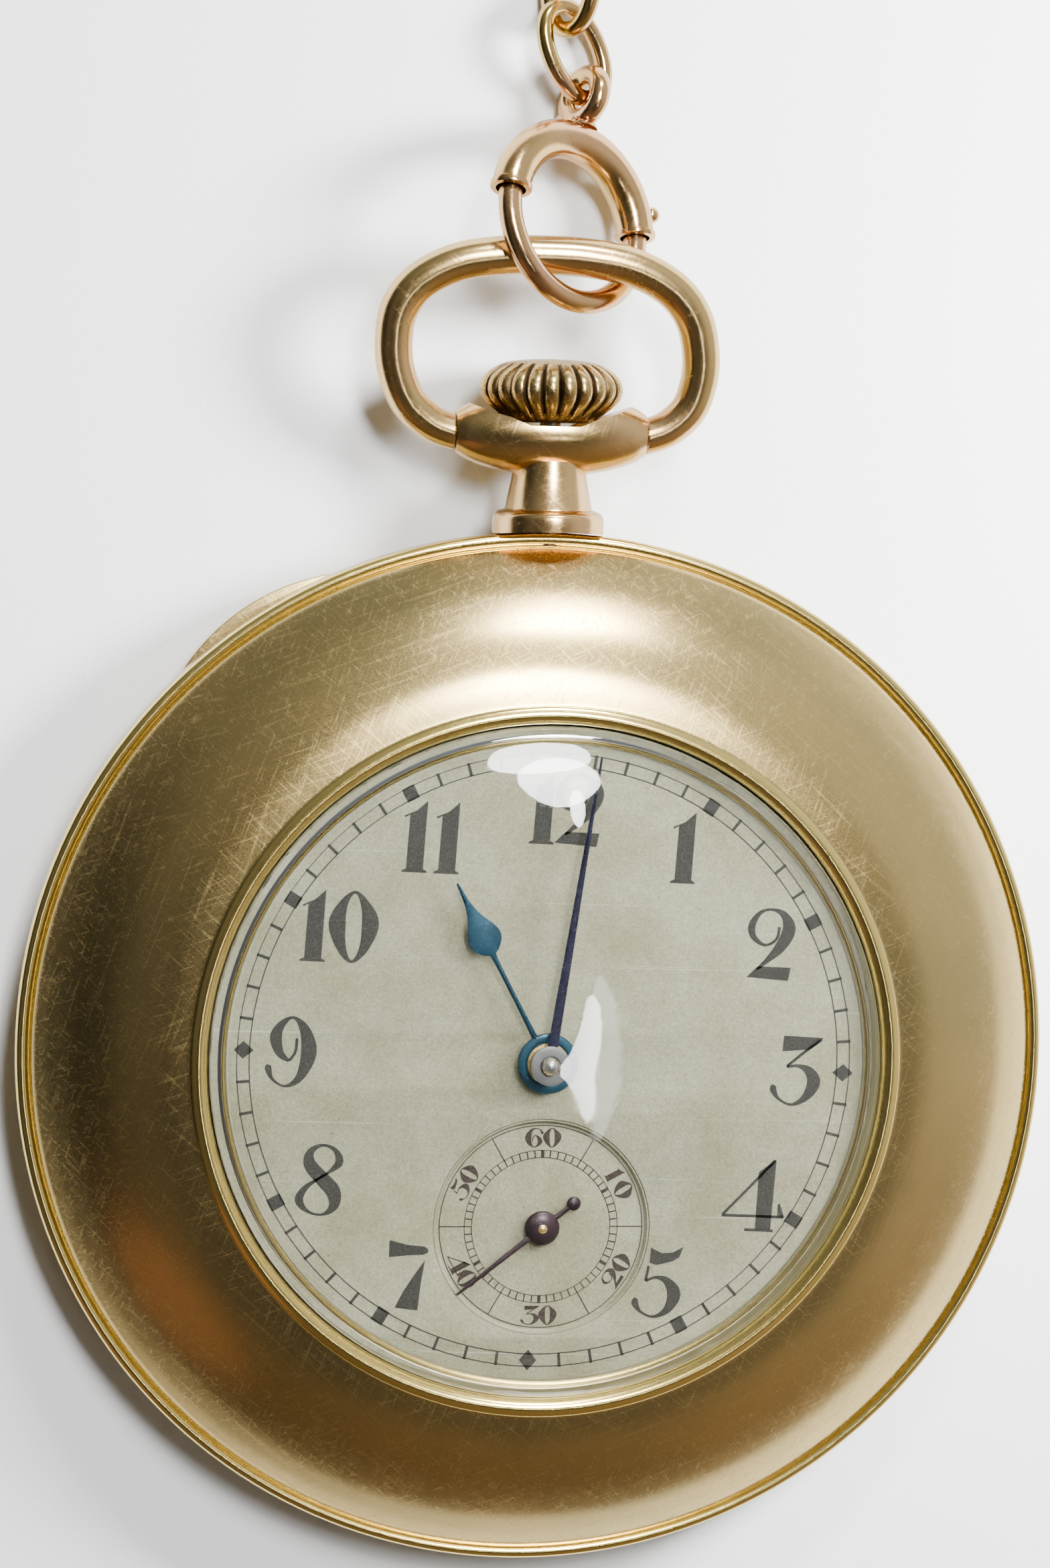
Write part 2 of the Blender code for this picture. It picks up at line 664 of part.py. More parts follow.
def jewel(name, centre):
    profile = [(0.68, 2.4), (0.68, 1.85), (0.17, 1.85), (0.17, 2.4)]
    turned(name, profile, "jewel", 12, (*centre, 0))


def screw(name, centre, head_low, head_radius, stem=0.0):
    """A slotted screw whose head faces the back, with a stem that reaches into its bridge."""
    x, y = centre
    high = head_low + 0.28
    profile = [(0.0, high), (head_radius, high), (head_radius, head_low), (0.0, head_low)]
    if stem:
        profile = [(0.0, BRIDGE_HIGH), (stem, BRIDGE_HIGH), (stem, high)] + profile[1:]
    piece = turned(name, profile, "steel", 16, (x, y, 0))
    slot = block(name + "_slot", (-2, -0.12, head_low - 1), (2, 0.12, head_low + 0.12))
    slot.location = (x * MM, y * MM, 0)
    slot.rotation_euler = (0, 0, 0.7)
    cut(piece, slot)


def barrel():
    pitch, _ = pitch_radii(BARREL, WHEEL_TEETH["barrel"], CENTRE, PINION_LEAVES["centre"])
    profile = [
        (7.2, 4.25), (7.2, 3.1), (1.0, 3.1), (1.0, 3.35), (6.85, 3.35), (6.85, 4.0),
        (1.0, 4.0), (1.0, 4.25),
    ]
    piece = turned("barrel", profile, "brass", 32, (*BARREL, 0))
    teeth = gear_outline(WHEEL_TEETH["barrel"], pitch, towards(BARREL, CENTRE))
    join(piece, plate("barrel_teeth", [teeth, circle(7.0, 32)], 3.6, 3.85, None, (*BARREL, 0)))


def barrel_arbor():
    profile = [
        (0.0, 5.1), (0.38, 5.1), (0.38, 4.35), (0.9, 4.35), (0.9, 3.9), (1.5, 3.9), (1.5, 3.42),
        (0.9, 3.42), (0.9, 1.72), (0.58, 1.72), (0.58, 1.6), (0.0, 1.6),
    ]
    turned("barrel_arbor", profile, "steel", 16, (*BARREL, 0))


def spiral(inner, outer, turns, steps):
    points = []
    for i in range(steps + 1):
        share = i / steps
        points.append(polar(inner + (outer - inner) * share, TURN * turns * share))
    return points


def ribbon(name, points, thickness, low, high, material, location):
    """A flat spring on edge along a path: one small rectangle lofted from point to point."""
    rings = []
    last = len(points) - 1
    for i, (x, y) in enumerate(points):
        before, after = points[max(i - 1, 0)], points[min(i + 1, last)]
        side = towards(before, after) + math.pi / 2
        ax, ay = polar(thickness / 2, side, (x, y))
        bx, by = polar(-thickness / 2, side, (x, y))
        rings.append([(ax, ay, low), (bx, by, low), (bx, by, high), (ax, ay, high)])
    loft(name, rings, material, location)


def mainspring():
    ribbon("mainspring", spiral(1.75, 6.6, 4, 40), 0.16, 3.45, 3.9, "steel", (*BARREL, 0))


def hairspring():
    ribbon("hairspring", spiral(0.8, 3.1, 4, 40), 0.06, 2.55, 2.72, "blued_steel", (*BALANCE, 0))


def ratchet_wheel():
    distance = span(BARREL, CROWN_WHEEL)
    pitch = distance * RATCHET_TEETH / (RATCHET_TEETH + CROWN_WHEEL_TEETH)
    teeth = gear_outline(RATCHET_TEETH, pitch, towards(BARREL, CROWN_WHEEL))
    plate("ratchet_wheel", [teeth, circle(0.62, 12)], WINDING_LOW, WINDING_HIGH, "steel", (*BARREL, 0))


def crown_wheel():
    distance = span(BARREL, CROWN_WHEEL)
    pitch = distance * CROWN_WHEEL_TEETH / (RATCHET_TEETH + CROWN_WHEEL_TEETH)
    phase = towards(CROWN_WHEEL, BARREL) + TURN / CROWN_WHEEL_TEETH / 2
    outlines = [gear_outline(CROWN_WHEEL_TEETH, pitch, phase), circle(0.8, 16)]
    plate("crown_wheel", outlines, WINDING_LOW, WINDING_HIGH, "steel", (*CROWN_WHEEL, 0))


def click():
    """The pawl that stands just clear of the ratchet wheel's teeth."""
    aim = towards(CLICK_PIVOT, BARREL)
    edge = arc(0.75, aim + 1.2, aim + TURN - 1.2, 9)
    edge += [polar(1.55, aim - 0.18), polar(1.68, aim + 0.02), polar(1.3, aim + 0.35)]
    plate("click", [edge, circle(0.3, 10)], WINDING_LOW, WINDING_HIGH, "steel", (*CLICK_PIVOT, 0))


def click_spring():
    base = [(-14.6, 4.9), (-15.6, 5.4), (-16.3, 7.6), (-15.6, 9.8), (-14.2, 11.4)]
    inner = [(x * 0.975, y * 0.975) for x, y in base]
    plate("click_spring", [base + inner[::-1]], WINDING_LOW, WINDING_HIGH, "steel")


def wheel(name, centre, spec, arbor, material="brass"):
    """A spoked wheel and its pinion on one arbor. spec: teeth, pitch radius, phase, low, high."""
    teeth, pitch, phase, low, high = spec["wheel"]
    module = 2 * pitch / teeth
    outlines = [gear_outline(teeth, pitch, phase)]
    outlines += windows(4, 1.35, pitch - 4.6 * module, 0.55)
    piece = plate(name, outlines, low, high, material, (*centre, 0))
    leaves, small, start, low, high = spec["pinion"]
    join(piece, plate(name + "_pinion", [gear_outline(leaves, small, start)], low, high, None, (*centre, 0)))
    join(piece, turned(name + "_arbor", arbor, None, 10, (*centre, 0)))


def arbor_profile(low, high, body=0.32, pivot=0.13, body_low=2.55, body_high=4.3):
    return [(0.0, high), (pivot, high), (pivot, body_high), (body, body_high), (body, body_low),
            (pivot, body_low), (pivot, low), (0.0, low)]


def half_gap(teeth):
    return TURN / teeth / 2


def train():
    _, centre_pinion = pitch_radii(BARREL, WHEEL_TEETH["barrel"], CENTRE, PINION_LEAVES["centre"])
    centre, third_pinion = pitch_radii(CENTRE, WHEEL_TEETH["centre"], THIRD, PINION_LEAVES["third"])
    third, fourth_pinion = pitch_radii(THIRD, WHEEL_TEETH["third"], FOURTH, PINION_LEAVES["fourth"])
    fourth, escape_pinion = pitch_radii(FOURTH, WHEEL_TEETH["fourth"], ESCAPE, PINION_LEAVES["escape"])
    arbor = [(0.0, 9.35), (0.25, 9.32), (0.42, 9.15), (0.42, 9.0), (0.33, 9.0), (0.33, 4.35), (0.5, 4.35),
             (0.5, 2.5), (0.17, 2.5), (0.17, 1.9), (0.0, 1.9)]
    spec = {
        "wheel": (80, centre, towards(CENTRE, THIRD), 2.75, 2.95),
        "pinion": (10, centre_pinion, towards(CENTRE, BARREL) + half_gap(10), 3.4, 4.3),
    }
    wheel("centre_wheel", CENTRE, spec, arbor)
    spec = {
        "wheel": (75, third, towards(THIRD, FOURTH), 3.9, 4.1),
        "pinion": (10, third_pinion, towards(THIRD, CENTRE) + half_gap(10), 2.6, 3.1),
    }
    wheel("third_wheel", THIRD, spec, arbor_profile(1.9, 5.0))
    arbor = [(0.0, 7.5), (0.15, 7.5), (0.24, 7.2), (0.24, 4.35), (0.32, 4.35), (0.32, 2.55),
             (0.13, 2.55), (0.13, 1.9), (0.0, 1.9)]
    spec = {
        "wheel": (80, fourth, towards(FOURTH, ESCAPE), 3.2, 3.38),
        "pinion": (10, fourth_pinion, towards(FOURTH, THIRD) + half_gap(10), 3.75, 4.3),
    }
    wheel("fourth_wheel", FOURTH, spec, arbor)
    escape_wheel(escape_pinion)


def escape_wheel(pinion_radius):
    outlines = [saw_outline(ESCAPE_TEETH, ESCAPE_RADIUS, 1.85), *windows(4, 0.75, 1.55, 0.3)]
    piece = plate("escape_wheel", outlines, 3.65, 3.83, "steel", (*ESCAPE, 0))
    leaves = PINION_LEAVES["escape"]
    phase = towards(ESCAPE, FOURTH) + half_gap(leaves)
    pinion = gear_outline(leaves, pinion_radius, phase)
    join(piece, plate("escape_pinion", [pinion], 3.05, 3.5, None, (*ESCAPE, 0)))
    join(piece, turned("escape_arbor", arbor_profile(1.9, 5.0, 0.3), None, 12, (*ESCAPE, 0)))


def pallet_fork():
    """An anchor with two arms beside the escape wheel, and a forked lever to the balance roller."""
    to_wheel = towards(PALLETS, ESCAPE)
    to_balance = towards(PALLETS, BALANCE)
    reach = span(PALLETS, BALANCE) - 1.0
    lever = [
        polar(0.45, to_wheel + 0.5), polar(1.75, to_wheel + 1.25), polar(2.05, to_wheel + 1.12),
        polar(2.15, to_wheel + 1.27), polar(1.7, to_wheel + 1.52), polar(0.55, to_balance - 0.9),
        polar(reach - 0.8, to_balance - 0.06), polar(reach - 0.5, to_balance - 0.16),
        polar(reach, to_balance - 0.13), polar(reach, to_balance - 0.06),
        polar(reach - 0.45, to_balance), polar(reach, to_balance + 0.06),
        polar(reach, to_balance + 0.13), polar(reach - 0.5, to_balance + 0.16),
        polar(reach - 0.8, to_balance + 0.06), polar(0.55, to_balance + 0.9),
        polar(1.7, to_wheel - 1.52), polar(2.15, to_wheel - 1.27), polar(2.05, to_wheel - 1.12),
        polar(1.75, to_wheel - 1.25), polar(0.45, to_wheel - 0.5),
    ]
    piece = plate("pallet_fork", [lever[::-1]], 3.65, 3.83, "steel", (*PALLETS, 0))
    arbor = arbor_profile(2.3, 5.0, 0.2, 0.13, 3.45, 4.3)
    join(piece, turned("pallet_arbor", arbor, None, 12, (*PALLETS, 0)))


def balance_wheel():
    outlines = [circle(BALANCE_RADIUS, 48), *windows(2, 0.75, BALANCE_RADIUS - 0.45, 0.7), circle(0.32, 12)]
    plate("balance_wheel", outlines, 2.9, 3.3, "brass", (*BALANCE, 0))


def balance_staff():
    profile = [
        (0.0, 5.0), (0.13, 5.0), (0.13, 4.3), (0.22, 4.25), (0.22, 4.15), (0.85, 4.15), (0.85, 3.98),
        (0.29, 3.98), (0.29, 2.5), (0.13, 2.45), (0.13, 1.9), (0.0, 1.9),
    ]
    turned("balance_staff", profile, "steel", 16, (*BALANCE, 0))


def regulator():
    """The index: a ring round the balance's upper jewel and a long pointer."""
    aim = towards(BALANCE, (0, 0)) - 2.2
    start, end = aim + 0.22, aim + TURN - 0.22
    edge = arc(1.35, start, end, 13)
    edge += [polar(4.2, aim - 0.03), polar(4.2, aim + 0.03)]
    plate("regulator", [edge, circle(0.85, 16)], 1.4, 1.65, "steel", (*BALANCE, 0))


def stem_piece(name, outline, low, high):
    """A flat piece on the winding stem: low and high are its reaches along +Y."""
    outlines = [outline, circle(0.55, 12)]
    half = (high - low) / 2
    plate(name, outlines, -half, half, "steel", (0, (low + high) / 2, STEM_HEIGHT), ALONG_Y)


def keyless_works():
    stem_piece("winding_pinion", gear_outline(WINDING_TEETH, 1.62), 14.95, 16.1)
    stem_piece("sliding_pinion", circle(0.8, 16), 12.75, 14.6)
    x, y = SETTING_PIVOT
    lever = [(0.7, 0.45), (0.75, -0.2), (0.35, -0.6), (-0.3, -0.25), (-2.2, -0.25), (-2.2, 0.2), (-0.3, 0.3)]
    piece = plate("setting_lever", [lever[::-1]], 3.95, 4.3, "steel", (x, y, 0))
    join(piece, rod("setting_lever_pin", (x - 2.0, y, 3.62), (x - 2.0, y, 4.2), 0.18, sides=10))
    join(piece, rod("setting_lever_pivot", (x, y, 4.1), (x, y, 5.0), 0.2, sides=10))


def motion_works():
    distance = span(CENTRE, MINUTE_WHEEL)
    cannon_teeth = gear_outline(PINION_LEAVES["cannon"], distance / 4, towards(CENTRE, MINUTE_WHEEL))
    cannon = turned("cannon_pinion", [(0.6, 8.75), (0.6, 6.0), (0.38, 6.0), (0.38, 8.75)], "steel", 16)
    join(cannon, plate("cannon_leaves", [cannon_teeth, circle(0.5, 12)], 6.0, 6.38, None))
    phase = towards(MINUTE_WHEEL, CENTRE) + half_gap(WHEEL_TEETH["minute"])
    teeth = gear_outline(WHEEL_TEETH["minute"], distance * 0.75, phase)
    at = (*MINUTE_WHEEL, 0)
    minute = plate("minute_wheel", [teeth], 6.05, 6.35, "brass", at)
    phase = towards(MINUTE_WHEEL, CENTRE) + half_gap(PINION_LEAVES["minute"])
    small = gear_outline(PINION_LEAVES["minute"], distance * 0.2, phase)
    join(minute, plate("minute_pinion", [small], 6.3, 6.85, None, at))
    join(minute, turned("minute_arbor", [(0.0, 6.9), (0.2, 6.9), (0.2, 5.35), (0.0, 5.35)], None, 12, at))
    pipe = [(0.98, 8.12), (0.98, 6.5), (0.66, 6.5), (0.66, 8.12)]
    hour = turned("hour_wheel", pipe, "brass", 20)
    teeth = gear_outline(WHEEL_TEETH["hour"], distance * 0.8, towards(CENTRE, MINUTE_WHEEL))
    join(hour, plate("hour_teeth", [teeth, circle(0.8, 20)], 6.5, 6.8, None))


# ---------------------------------------------------------------- dial and hands


def dial():
    outlines = [circle(DIAL_RADIUS, 48), circle(SUBDIAL_RADIUS + 0.05, 36, FOURTH), circle(1.1, 12)]
    plate("dial", outlines, DIAL_LOW, DIAL_TOP, "dial_silver")
    hole = circle(0.35, 12)
    plate("subdial", [circle(SUBDIAL_RADIUS, 36), hole], 6.95, SUBDIAL_TOP, "dial_silver", (*FOURTH, 0))


def hand(name, half_outline, boss, hole, low, material, centre, angle):
    """A flat hand that points along +Y before it is turned: half its outline, mirrored, round a boss."""
    left = [(-x, y) for x, y in half_outline[::-1] if x > 0]
    at = (*centre, 0)
    turn = (0, 0, -angle)
    piece = plate(name, [circle(boss, 24), circle(hole, 16)], low, low + HAND_THICKNESS, material, at, turn)
    blade = plate(name + "_blade", [half_outline + left], low, low + HAND_THICKNESS, None, at, turn)
    join(piece, blade)


def hands():
    pear = [(0.16, 1.3), (0.13, 5.0), (0.3, 5.35), (0.78, 6.3), (0.62, 7.35), (0.16, 8.6), (0.0, 9.65)]
    hand("hour_hand", pear, 1.45, 1.0, HOUR_HAND_Z, "blued_steel", CENTRE, HOUR_HAND_ANGLE)
    sword = [(0.22, 0.8), (0.24, 3.0), (0.2, 8.0), (0.05, 14.6), (0.0, 14.7)]
    hand("minute_hand", sword, 0.93, 0.62, MINUTE_HAND_Z, "blued_steel", CENTRE, MINUTE_HAND_ANGLE)
    half = [(0.1, -2.3), (0.13, 0.0), (0.04, 5.05), (0.0, 5.1)]
    at = (*FOURTH, 0)
    low, high = SECONDS_HAND_Z, SECONDS_HAND_Z + 0.1
    piece = plate("seconds_hand", [circle(0.82, 24)], low, high, "blued_steel", at)
    tail = [(-x, y) for x, y in half[::-1] if x > 0]
    turn = (0, 0, -SECONDS_HAND_ANGLE)
    join(piece, plate("seconds_blade", [half + tail], low, high, None, at, turn))
    join(piece, plate("seconds_ball", [circle(0.35, 12, (0, -1.9))], low, high, None, at, turn))
    join(piece, turned("seconds_cap", [(0.0, 7.9), (0.25, 7.85), (0.3, 7.55), (0.0, 7.52)], None, 12, at))


# ---------------------------------------------------------------- bolt ring and links


def ring_frame():
    """An empty at the ring's centre: its Z is the ring's axis and its X the zero angle."""
    normal = RING_NORMAL.normalized()
    zero = (RING_ZERO - normal * RING_ZERO.dot(normal)).normalized()
    across = normal.cross(zero)
    turn = Matrix((zero, across, normal)).transposed().to_4x4()
    frame = bpy.data.objects.new("bolt_ring_frame", None)
    WATCH.objects.link(frame)
    frame.matrix_world = Matrix.Translation(RING_CENTRE * MM) @ turn
    return frame


def bent_tube(name, outer, bore, start, end, steps, sides, material, frame, major=RING_MAJOR):
    """A tube bent round the ring's axis, open at both ends, or solid when it has no bore."""
    def ring(radius, angle):
        points = []
        for i in range(sides):
            turn = TURN * i / sides
            points.append((*polar(major + radius * math.cos(turn), angle), radius * math.sin(turn)))
        return points

    angles = [start + (end - start) * i / steps for i in range(steps + 1)]
    if not bore:
        piece = loft(name, [ring(outer, angle) for angle in angles], material)
    else:
        rings = [ring(outer, angle) for angle in angles] + [ring(bore, angle) for angle in angles[::-1]]
        solid = bmesh.new()
        rows = [[solid.verts.new(Vector(point) * MM) for point in row] for row in rings]
        for lower, upper in zip(rows, rows[1:] + rows[:1]):
            for i in range(sides):
                j = (i + 1) % sides
                solid.faces.new((lower[i], lower[j], upper[j], upper[i]))
        bmesh.ops.recalc_face_normals(solid, faces=solid.faces)
        mesh = bpy.data.meshes.new(name)
        solid.to_mesh(mesh)
        solid.free()
        piece = place(bpy.data.objects.new(name, mesh), material)
    piece.parent = frame
    return piece


def bolt_ring():
    frame = ring_frame()
    tube = bent_tube("ring_tube", RING_TUBE, RING_BORE, TUBE_START, TUBE_END, 14, 12, "rose_gold", frame)
    slot_start = TRIGGER_ANGLE - math.radians(4)
    slot_end = TRIGGER_ANGLE + BOLT_TRAVEL + math.radians(4)
    slot = bent_tube("trigger_slot", 0.3, 0, slot_start, slot_end, 8, 8, None, frame, RING_MAJOR + 0.85)
    cut(tube, slot)
    eye = []
    for i in range(14):
        turn = TURN * i / 14
        reach = EYE_DISTANCE + EYE_RADIUS * math.cos(turn)
        eye.append((*polar(reach, EYE_ANGLE), EYE_RADIUS * math.sin(turn)))
    torus = wire("ring_eye", eye, EYE_WIRE, None, cyclic=True, resolution=2)
    torus.parent = frame
    foot_start = polar(RING_MAJOR + RING_TUBE - 0.25, EYE_ANGLE)
    foot_end = polar(RING_MAJOR + RING_TUBE + 0.35, EYE_ANGLE)
    foot = rod("ring_eye_foot", (*foot_start, 0), (*foot_end, 0), 0.5, sides=12)
    foot.parent = frame
    room = bent_tube("ring_bore_room", RING_BORE, 0, TUBE_START, TUBE_END, 14, 12, None, frame)
    join(tube, torus, foot)
    cut(tube, room)
    bolt_start = TUBE_END - math.radians(4)
    bolt_end = TUBE_START + TURN + math.radians(26)
    bolt = bent_tube("ring_bolt", BOLT_RADIUS, 0, bolt_start, bolt_end, 22, 10, "rose_gold", frame)
    stem_low = polar(RING_MAJOR, TRIGGER_ANGLE)
    stem_high = polar(RING_MAJOR + 1.2, TRIGGER_ANGLE)
    stem = rod("trigger_stem", (*stem_low, 0), (*stem_high, 0), 0.22, sides=10)
    stem.parent = frame
    knob_points = [(0.0, 0.42), (0.3, 0.3), (0.42, 0.0), (0.3, -0.3), (0.0, -0.42)]
    knob = turned("trigger_knob", knob_points, None, 12, (*polar(RING_MAJOR + 1.32, TRIGGER_ANGLE), 0))
    knob.parent = frame
    join(bolt, stem, knob)
    coil = []
    start, end = TUBE_START + math.radians(66), TUBE_START + math.radians(160)
    turns, steps = 6, 42
    for i in range(steps + 1):
        share = i / steps
        turn = TURN * turns * share
        angle = start + (end - start) * share
        coil.append((*polar(RING_MAJOR + 0.42 * math.cos(turn), angle), 0.42 * math.sin(turn)))
    spring = wire("ring_spring", coil, 0.1, "steel", resolution=0)
    spring.parent = frame
    return frame


def link(name, near_end, along, across):
    """An oval link whose near end's wire passes the given point."""
    along = along.normalized()
    across = (across - along * across.dot(along)).normalized()
    straight = LINK_HALF_LENGTH - LINK_HALF_WIDTH
    points = []
    for i in range(20):
        angle = TURN * i / 20
        x = LINK_HALF_WIDTH * math.cos(angle)
        shift = straight if math.sin(angle) >= -0.001 else -straight
        points.append((x, LINK_HALF_WIDTH * math.sin(angle) + shift, 0.0))
    piece = wire(name, points, LINK_WIRE, "rose_gold", cyclic=True, resolution=2)
    normal = across.cross(along)
    turn = Matrix((across, along, normal)).transposed().to_4x4()
    piece.matrix_world = Matrix.Translation((near_end + along * LINK_HALF_LENGTH) * MM) @ turn


def chain_links(frame):
    eye_local = Vector((*polar(EYE_DISTANCE, EYE_ANGLE), 0)) * MM
    bpy.context.view_layer.update()
    eye = (frame.matrix_world @ eye_local) / MM
    start = eye + LINK_1_START
    link("chain_link_1", start, LINK_1_ALONG, LINK_1_ACROSS)
    second_start = start + LINK_1_ALONG.normalized() * (2 * LINK_HALF_LENGTH - LINK_OVERLAP) + LINK_2_START
    link("chain_link_2", second_start, LINK_2_ALONG, LINK_2_ACROSS)


def build():
    frame_band = band()
    bezel()
    crystal()
    dial_ring()
    cover = back_cover()
    inner_cover = cuvette()
    hinge(frame_band, cover, "back_hinge_pin", 24.85, 2.05, 0.4, 0.16, 3.6)
    hinge(frame_band, inner_cover, "cuvette_hinge_pin", 22.9, 1.97, 0.32, 0.12, 2.4)
    pendant()
    bow_yoke()
    crown()
    bow()
    winding_stem()
    main_plate()
    barrel_bridge()
    train_bridge()
    balance_cock()
    jewel("third_jewel", THIRD)
    jewel("escape_jewel", ESCAPE)
    jewel("balance_jewel", BALANCE)
    for name, spot in CASE_SCREWS.items():
        screw(name, spot, 2.1, CASE_SCREW_RADIUS)
    screw("ratchet_screw", BARREL, 1.27, 0.56)
    screw("crown_wheel_screw", CROWN_WHEEL, 1.35, 0.75, stem=0.46)
    barrel()
    barrel_arbor()
    mainspring()
    ratchet_wheel()
    crown_wheel()
    click()
    click_spring()
    train()
    pallet_fork()
    balance_wheel()
    balance_staff()
    hairspring()
    regulator()
    keyless_works()
    motion_works()
    dial()
    hands()
    chain_links(bolt_ring())


build()
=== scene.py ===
"""An open face pocket watch on a pale studio floor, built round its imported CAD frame.

The frame lies on its back: +Z points out of the dial and +Y to twelve o'clock. Sizes below are
millimetres unless a name says otherwise, and every mesh is made in metres through MM.
"""

import json
from math import atan2, copysign, cos, hypot, pi, radians, sin, sqrt

import bmesh
import bpy
from mathutils import Matrix, Vector


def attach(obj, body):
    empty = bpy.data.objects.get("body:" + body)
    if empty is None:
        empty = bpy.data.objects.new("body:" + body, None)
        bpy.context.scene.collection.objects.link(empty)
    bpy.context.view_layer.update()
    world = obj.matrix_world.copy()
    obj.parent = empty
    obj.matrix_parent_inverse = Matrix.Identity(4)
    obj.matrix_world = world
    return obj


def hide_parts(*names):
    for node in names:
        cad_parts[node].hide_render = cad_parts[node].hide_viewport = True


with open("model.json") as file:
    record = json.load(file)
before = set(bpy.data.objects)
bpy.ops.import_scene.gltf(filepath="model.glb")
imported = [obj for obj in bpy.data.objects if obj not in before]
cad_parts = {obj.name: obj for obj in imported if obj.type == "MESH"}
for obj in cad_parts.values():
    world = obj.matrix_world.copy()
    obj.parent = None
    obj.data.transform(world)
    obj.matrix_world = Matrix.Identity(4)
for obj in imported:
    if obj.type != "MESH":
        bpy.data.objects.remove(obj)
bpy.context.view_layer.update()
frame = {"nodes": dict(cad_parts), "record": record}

MM = 0.001
TURN = 2 * pi
PER_METRE = 1000.0

CAMERA_DISTANCE = 200 * MM
STEM_HEIGHT = 3.55
CROWN_START = 30.1
CROWN_RIBS = 24
YOKE_Y = 29.6
HINGE_ANGLE = radians(304)
DIAL_TOP = 7.4
SUBDIAL_TOP = 7.15
SUBDIAL_CENTRE = (0.0, -7.95)
PRINT_THICKNESS = 0.012
PRINT_GAP = 0.001
LIP_EDGE = 16.93
BEAD_EDGE = 24.15
YOKE_HALF = 4.6
BOW_RAISED = radians(6.6)
BOW_LEAN = 0.07
BOW_WIRE = 0.86
BOW_SWELL = 0.07
BOW_PIVOT = 0.45
BOLT_WIRE = 0.56
EYE_REACH = 6.45
EYE_RADIUS = 1.12
LINK_WIRE = 0.41


# ---------------------------------------------------------------- camera, light and floor


def make_camera():
    """The camera stands 200 mm from a point on the dial, a little left of and above its centre."""
    aim = Vector((-1.33, 13.17, DIAL_TOP)) * MM
    tilt, azimuth, roll = radians(9.78), radians(147.66), radians(1.5)
    back = Vector((sin(tilt) * cos(azimuth), sin(tilt) * sin(azimuth), cos(tilt)))
    side = Vector((-sin(roll), cos(roll), 0)).cross(back).normalized()
    up = back.cross(side)
    data = bpy.data.cameras.new("camera")
    data.sensor_width = 36.0
    data.sensor_fit = "HORIZONTAL"
    data.lens = 145.7
    data.clip_start = 0.01
    camera = bpy.data.objects.new("camera", data)
    turn = Matrix((side, up, back)).transposed().to_4x4()
    camera.matrix_world = Matrix.Translation(aim + back * CAMERA_DISTANCE) @ turn
    bpy.context.scene.collection.objects.link(camera)
    bpy.context.scene.camera = camera


def area_light(name, direction, distance, size, power, colour=(1, 1, 1), target=(0, 0, 0.007), glossy=True):
    data = bpy.data.lights.new(name, "AREA")
    data.shape = "ELLIPSE"
    data.size, data.size_y = size
    data.energy = power
    data.color = colour
    light = bpy.data.objects.new(name, data)
    towards = Vector(direction).normalized()
    side = Vector((0, 1, 0)).cross(towards).normalized()
    turn = Matrix((side, towards.cross(side), towards)).transposed().to_4x4()
    light.matrix_world = Matrix.Translation(Vector(target) + towards * distance) @ turn
    light.visible_glossy = glossy
    light.visible_transmission = glossy
    bpy.context.scene.collection.objects.link(light)
    return light


def make_lights():
    """A key and a fill that only light, and lamps that also show in the crystal and the gold."""
    area_light("key", (0.076, 0.046, 0.052), 0.103, (0.034, 0.034), 0.52, glossy=False)
    area_light("fill", (0.1, 0.2, 1.0), 0.6, (0.6, 0.6), 0.12, glossy=False)
    area_light("window", (0.17, 0.83, 0.53), 0.5, (0.12, 0.06), 2.8, target=(0, 0.02, 0.007))
    area_light("upper_pane", (0.115, 0.43, 0.93), 0.5, (0.1, 0.14), 2.4, target=(0, 0.012, 0.009))
    area_light("middle_pane", (0.15, 0.28, 0.95), 0.5, (0.065, 0.12), 1.35, target=(0, 0.012, 0.009))
    area_light("lower_pane", (0.175, 0.17, 0.97), 0.5, (0.010, 0.040), 0.075, target=(0, 0.010, 0.009))
    area_light("strip", (0.178, -0.147, 0.971), 0.5, (0.010, 0.056), 0.06, target=(0.0016, 0.0005, 0.0103))
    area_light("warm_wall", (-0.62, -0.65, 0.42), 0.5, (0.25, 0.2), 0.03, (1.0, 0.42, 0.22))


